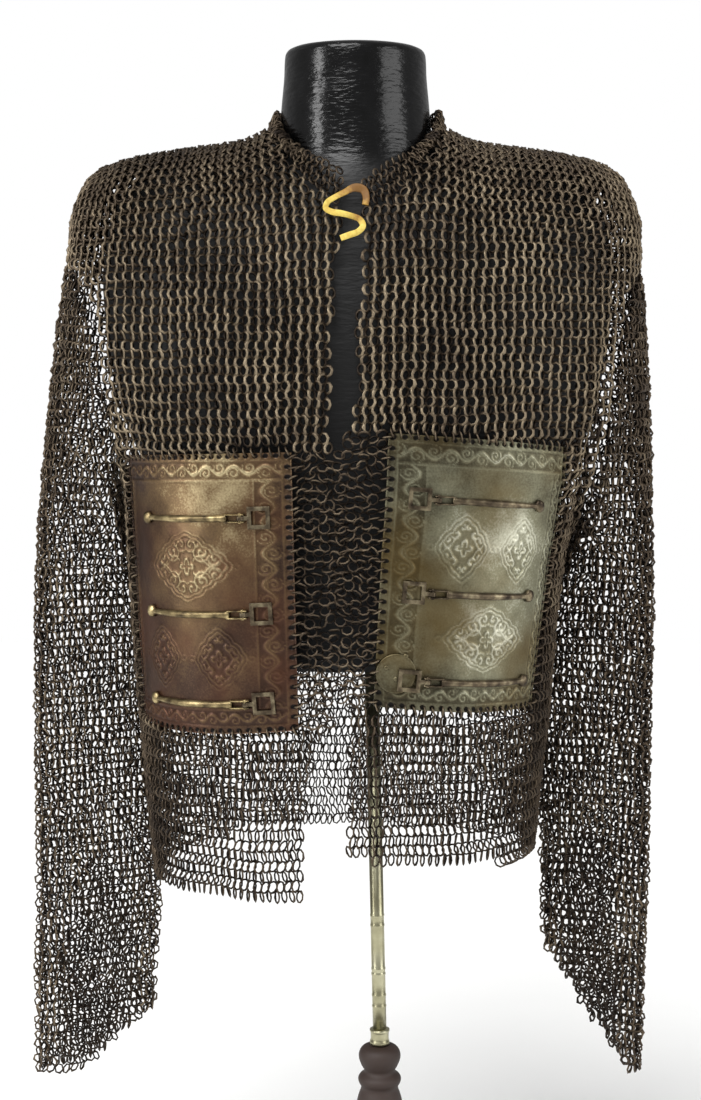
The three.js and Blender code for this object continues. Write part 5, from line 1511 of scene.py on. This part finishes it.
def thong_path():
    """The thong's middle line: its table's points, each off the coat's face, on one smooth curve."""
    points = []
    for x, z, off in THONG:
        side = RIGHT if x < COLLAR_CENTRE_X else LEFT
        level = z
        for _ in range(20):
            level += z - body_point(side, FRONT, level, angle_of_x(side, level, x))[2]
        point = body_point(side, FRONT, level, angle_of_x(side, level, x))
        points.append([point[0], point[1] - MAIL_WALL / 2 - off, z])
    return curve_through(points, 150)


class BuildThong(Operator):
    """Flat leather thong looped through both fronts at the throat"""
    bl_idname = "coat.build_thong"
    bl_label = "Thong"

    def execute(self, context):
        path = thong_path()
        ahead = unit(np.gradient(path, axis=0))
        share = np.linspace(0, 1, len(path))
        roll = 0.45 * np.sin(5.2 * np.pi * share) - 0.1
        forward = np.array([0.0, -1.0, 0.0])
        flat = unit(np.cross(ahead, forward))
        proud = np.cross(flat, ahead)
        across = flat * np.cos(roll)[:, None] + proud * np.sin(roll)[:, None]
        thick = np.cross(across, ahead)
        swell = 1 + 0.34 * hump(share - 0.16, 0.1) - 0.12 * hump(share - 0.4, 0.06)
        turn = 2 * np.pi * np.arange(12) / 12
        wide = np.sign(np.cos(turn)) * np.abs(np.cos(turn)) ** 0.6 * THONG_WIDTH / 2
        deep = np.sign(np.sin(turn)) * np.abs(np.sin(turn)) ** 0.6 * THONG_THICKNESS / 2
        rings = (path[:, None] + across[:, None] * (wide * swell[:, None])[..., None]
                 + thick[:, None] * deep[:, None])
        points, faces = tube(rings)
        # Painted shade over the thong's first stretch, and a short darker spot further along
        darker_stretches = 0.75 * hump(share - 0.13, 0.16) + 0.35 * hump(share - 0.72, 0.05)
        darker_stretches = np.append(np.repeat(darker_stretches, len(turn)), [0.7, 0.1])
        thong = mesh_object("thong_leather", points, faces, material("yellow_leather"),
                            attributes={"darker_stretches": darker_stretches})
        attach(thong, "coat")
        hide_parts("thong")
        return {"FINISHED"}


class BuildForm(Operator):
    """Limbless dress form in ribbed black lacquer"""
    bl_idname = "coat.build_form"
    bl_label = "Dress form"

    def execute(self, context):
        levels = np.unique(np.concatenate([np.linspace(593, 1020, 60), np.linspace(1020, 1060, 28),
                                           np.linspace(1060, 1110, 14), np.linspace(1110, FORM_TOP_Z, 12)]))
        turn = 2 * np.pi * np.arange(96) / 96
        points, faces = tube(form_point(levels[:, None], turn[None]))
        form = mesh_object("form_lacquered", points, faces, material("black_lacquer"))
        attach(form, "coat")
        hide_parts("dress_form")
        return {"FINISHED"}


POLE_PROFILE_MARKS = (0.06, 0.09, 0.148, 0.162, 0.28, 0.307)
FERRULE_PROFILE = [(0, 235.3), (9, 235.3), (9, 239), (8.2, 240), (8.2, 247), (9, 248), (9, 250.4), (0, 250.4)]
COLUMN_PROFILE = [
    (0, 26.4), (30, 26.4), (30, 32), (22, 37), (16, 48), (14, 70), (15, 92), (20, 104), (20, 109), (16, 114),
    (19, 130), (23, 152), (23, 170), (19.5, 188), (16, 196), (19.5, 201), (19.5, 206), (13, 211), (16.5, 216),
    (19.5, 224), (18, 231), (12.5, 235), (0, 235)]
FOOT_PROFILE = [(0, 0), (158, 0), (160, 3), (160, 11), (154, 16), (148, 18), (60, 23), (40, 26), (0, 26)]


class BuildStand(Operator):
    """Pole, ferrule, turned column and round foot"""
    bl_idname = "coat.build_stand"
    bl_label = "Stand"

    def execute(self, context):
        length = np.linalg.norm(POLE_TOP - POLE_FOOT)
        pole = [(0.2, 0.0), (6.2, 0.0)]
        for mark in POLE_PROFILE_MARKS:
            z = mark * length
            pole += [(6.2, z - 1.4), (6.55, z - 0.8), (6.55, z + 0.8), (6.2, z + 1.4)]
        pole += [(6.2, length), (0.2, length)]
        foot = np.array([STAND_X, 0, 0])
        shaft = turned(pole, 40, POLE_FOOT, POLE_TOP - POLE_FOOT)
        ferrule = turned(rounded(FERRULE_PROFILE, 1), 48, foot)
        column = turned(rounded(COLUMN_PROFILE), 64, foot)
        pieces = (
            ("pole_nickel", shaft, "aged_nickel", "nickel", "pole"),
            ("ferrule_nickel", ferrule, "aged_nickel", "nickel", "ferrule"),
            ("column_turned", column, "dark_wood", "dark_wood", "stand_column"),
            ("foot_turned", turned(rounded(FOOT_PROFILE), 128, foot), "dark_wood", "dark_wood", "stand_foot"),
        )
        for name, (points, faces), finish, slot, node in pieces:
            piece = mesh_object(name, points, faces, material(finish))
            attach(piece, "coat")
            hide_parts(node)
        return {"FINISHED"}


def soft_light(name, kind, place, power, **settings):
    """Light at a place in metres, turned to the coat's middle."""
    data = bpy.data.lights.new(name, kind)
    data.energy = power
    for key, value in settings.items():
        setattr(data, key, value)
    light = bpy.data.objects.new(name, data)
    light.location = place
    light.rotation_euler = (Vector(LIT_POINT) - Vector(place)).to_track_quat("-Z", "Y").to_euler()
    bpy.context.scene.collection.objects.link(light)


class BuildStage(Operator):
    """Pale floor, soft lights and the camera"""
    bl_idname = "coat.build_stage"
    bl_label = "Stage"

    def execute(self, context):
        stage = context.scene.coat_stage
        u = np.linspace(-4000, 4000, 3)
        points = np.array([(x, y, -0.2) for y in u for x in u])
        floor = mesh_object("floor", points, [grid_faces(3, 3)], material("pale_floor"), smooth=False)
        soft_light("key", "SUN", (-0.8, -1.6, 3.0), stage.key, angle=math.radians(40))
        for side, width in ((RIGHT, 0.3), (LEFT, 1.0)):
            soft_light("strip_" + WORD[side], "AREA", (side * 1.5, -0.85, 1.15), stage.strips,
                       shape="RECTANGLE", size=width, size_y=1.5)
        context.scene.view_settings.view_transform = "Standard"
        world = bpy.data.worlds.new("surroundings")
        world.use_nodes = True
        tree = world.node_tree
        seen = add_node(tree, "LightPath").outputs["Is Camera Ray"]
        strength = add_node(tree, "MapRange", {"Value": seen, "To Min": stage.air, "To Max": 1.0}).outputs[0]
        background = tree.nodes["Background"]
        background.inputs["Color"].default_value = hex_colour("ffffff")
        tree.links.new(strength, background.inputs["Strength"])
        context.scene.world = world
        data = bpy.data.cameras.new("camera")
        data.lens = stage.lens
        data.sensor_width = 36
        data.clip_end = 20
        camera = bpy.data.objects.new("camera", data)
        camera.location = stage.place
        camera.rotation_euler = (math.radians(90) - stage.tilt, 0, 0)
        context.scene.collection.objects.link(camera)
        context.scene.camera = camera
        return {"FINISHED"}


BUILDERS = (BuildStage, BuildThong, BuildFronts, BuildBack, BuildSleeves, BuildCollar, BuildPlates, BuildBars,
            BuildFrames, BuildPatch, BuildForm, BuildStand)


class ArmourPanel(Panel):
    """Settings and one button for each piece"""
    bl_idname = "VIEW3D_PT_coat"
    bl_label = "Armour coat"
    bl_space_type = "VIEW_3D"
    bl_region_type = "UI"
    bl_category = "Armour"

    def draw(self, context):
        for name in ("coat_mail", "coat_plates", "coat_stage"):
            box = self.layout.box()
            for key in getattr(context.scene, name).__annotations__:
                box.prop(getattr(context.scene, name), key)
        for builder in BUILDERS:
            self.layout.operator(builder.bl_idname)


CLASSES = (MailSettings, PlateSettings, StageSettings, *BUILDERS, ArmourPanel)


def register():
    for cls in CLASSES:
        bpy.utils.register_class(cls)
    bpy.types.Scene.coat_mail = PointerProperty(type=MailSettings)
    bpy.types.Scene.coat_plates = PointerProperty(type=PlateSettings)
    bpy.types.Scene.coat_stage = PointerProperty(type=StageSettings)


def unregister():
    del bpy.types.Scene.coat_mail
    del bpy.types.Scene.coat_plates
    del bpy.types.Scene.coat_stage
    for cls in reversed(CLASSES):
        bpy.utils.unregister_class(cls)


def main():
    register()
    bpy.ops.coat.build_stage()
    bpy.ops.coat.build_thong()
    bpy.ops.coat.build_fronts()
    bpy.ops.coat.build_back()
    bpy.ops.coat.build_sleeves()
    bpy.ops.coat.build_collar()
    bpy.ops.coat.build_plates()
    bpy.ops.coat.build_bars()
    bpy.ops.coat.build_frames()
    bpy.ops.coat.build_patch()
    bpy.ops.coat.build_form()
    bpy.ops.coat.build_stand()


if __name__ == "__main__":
    main()
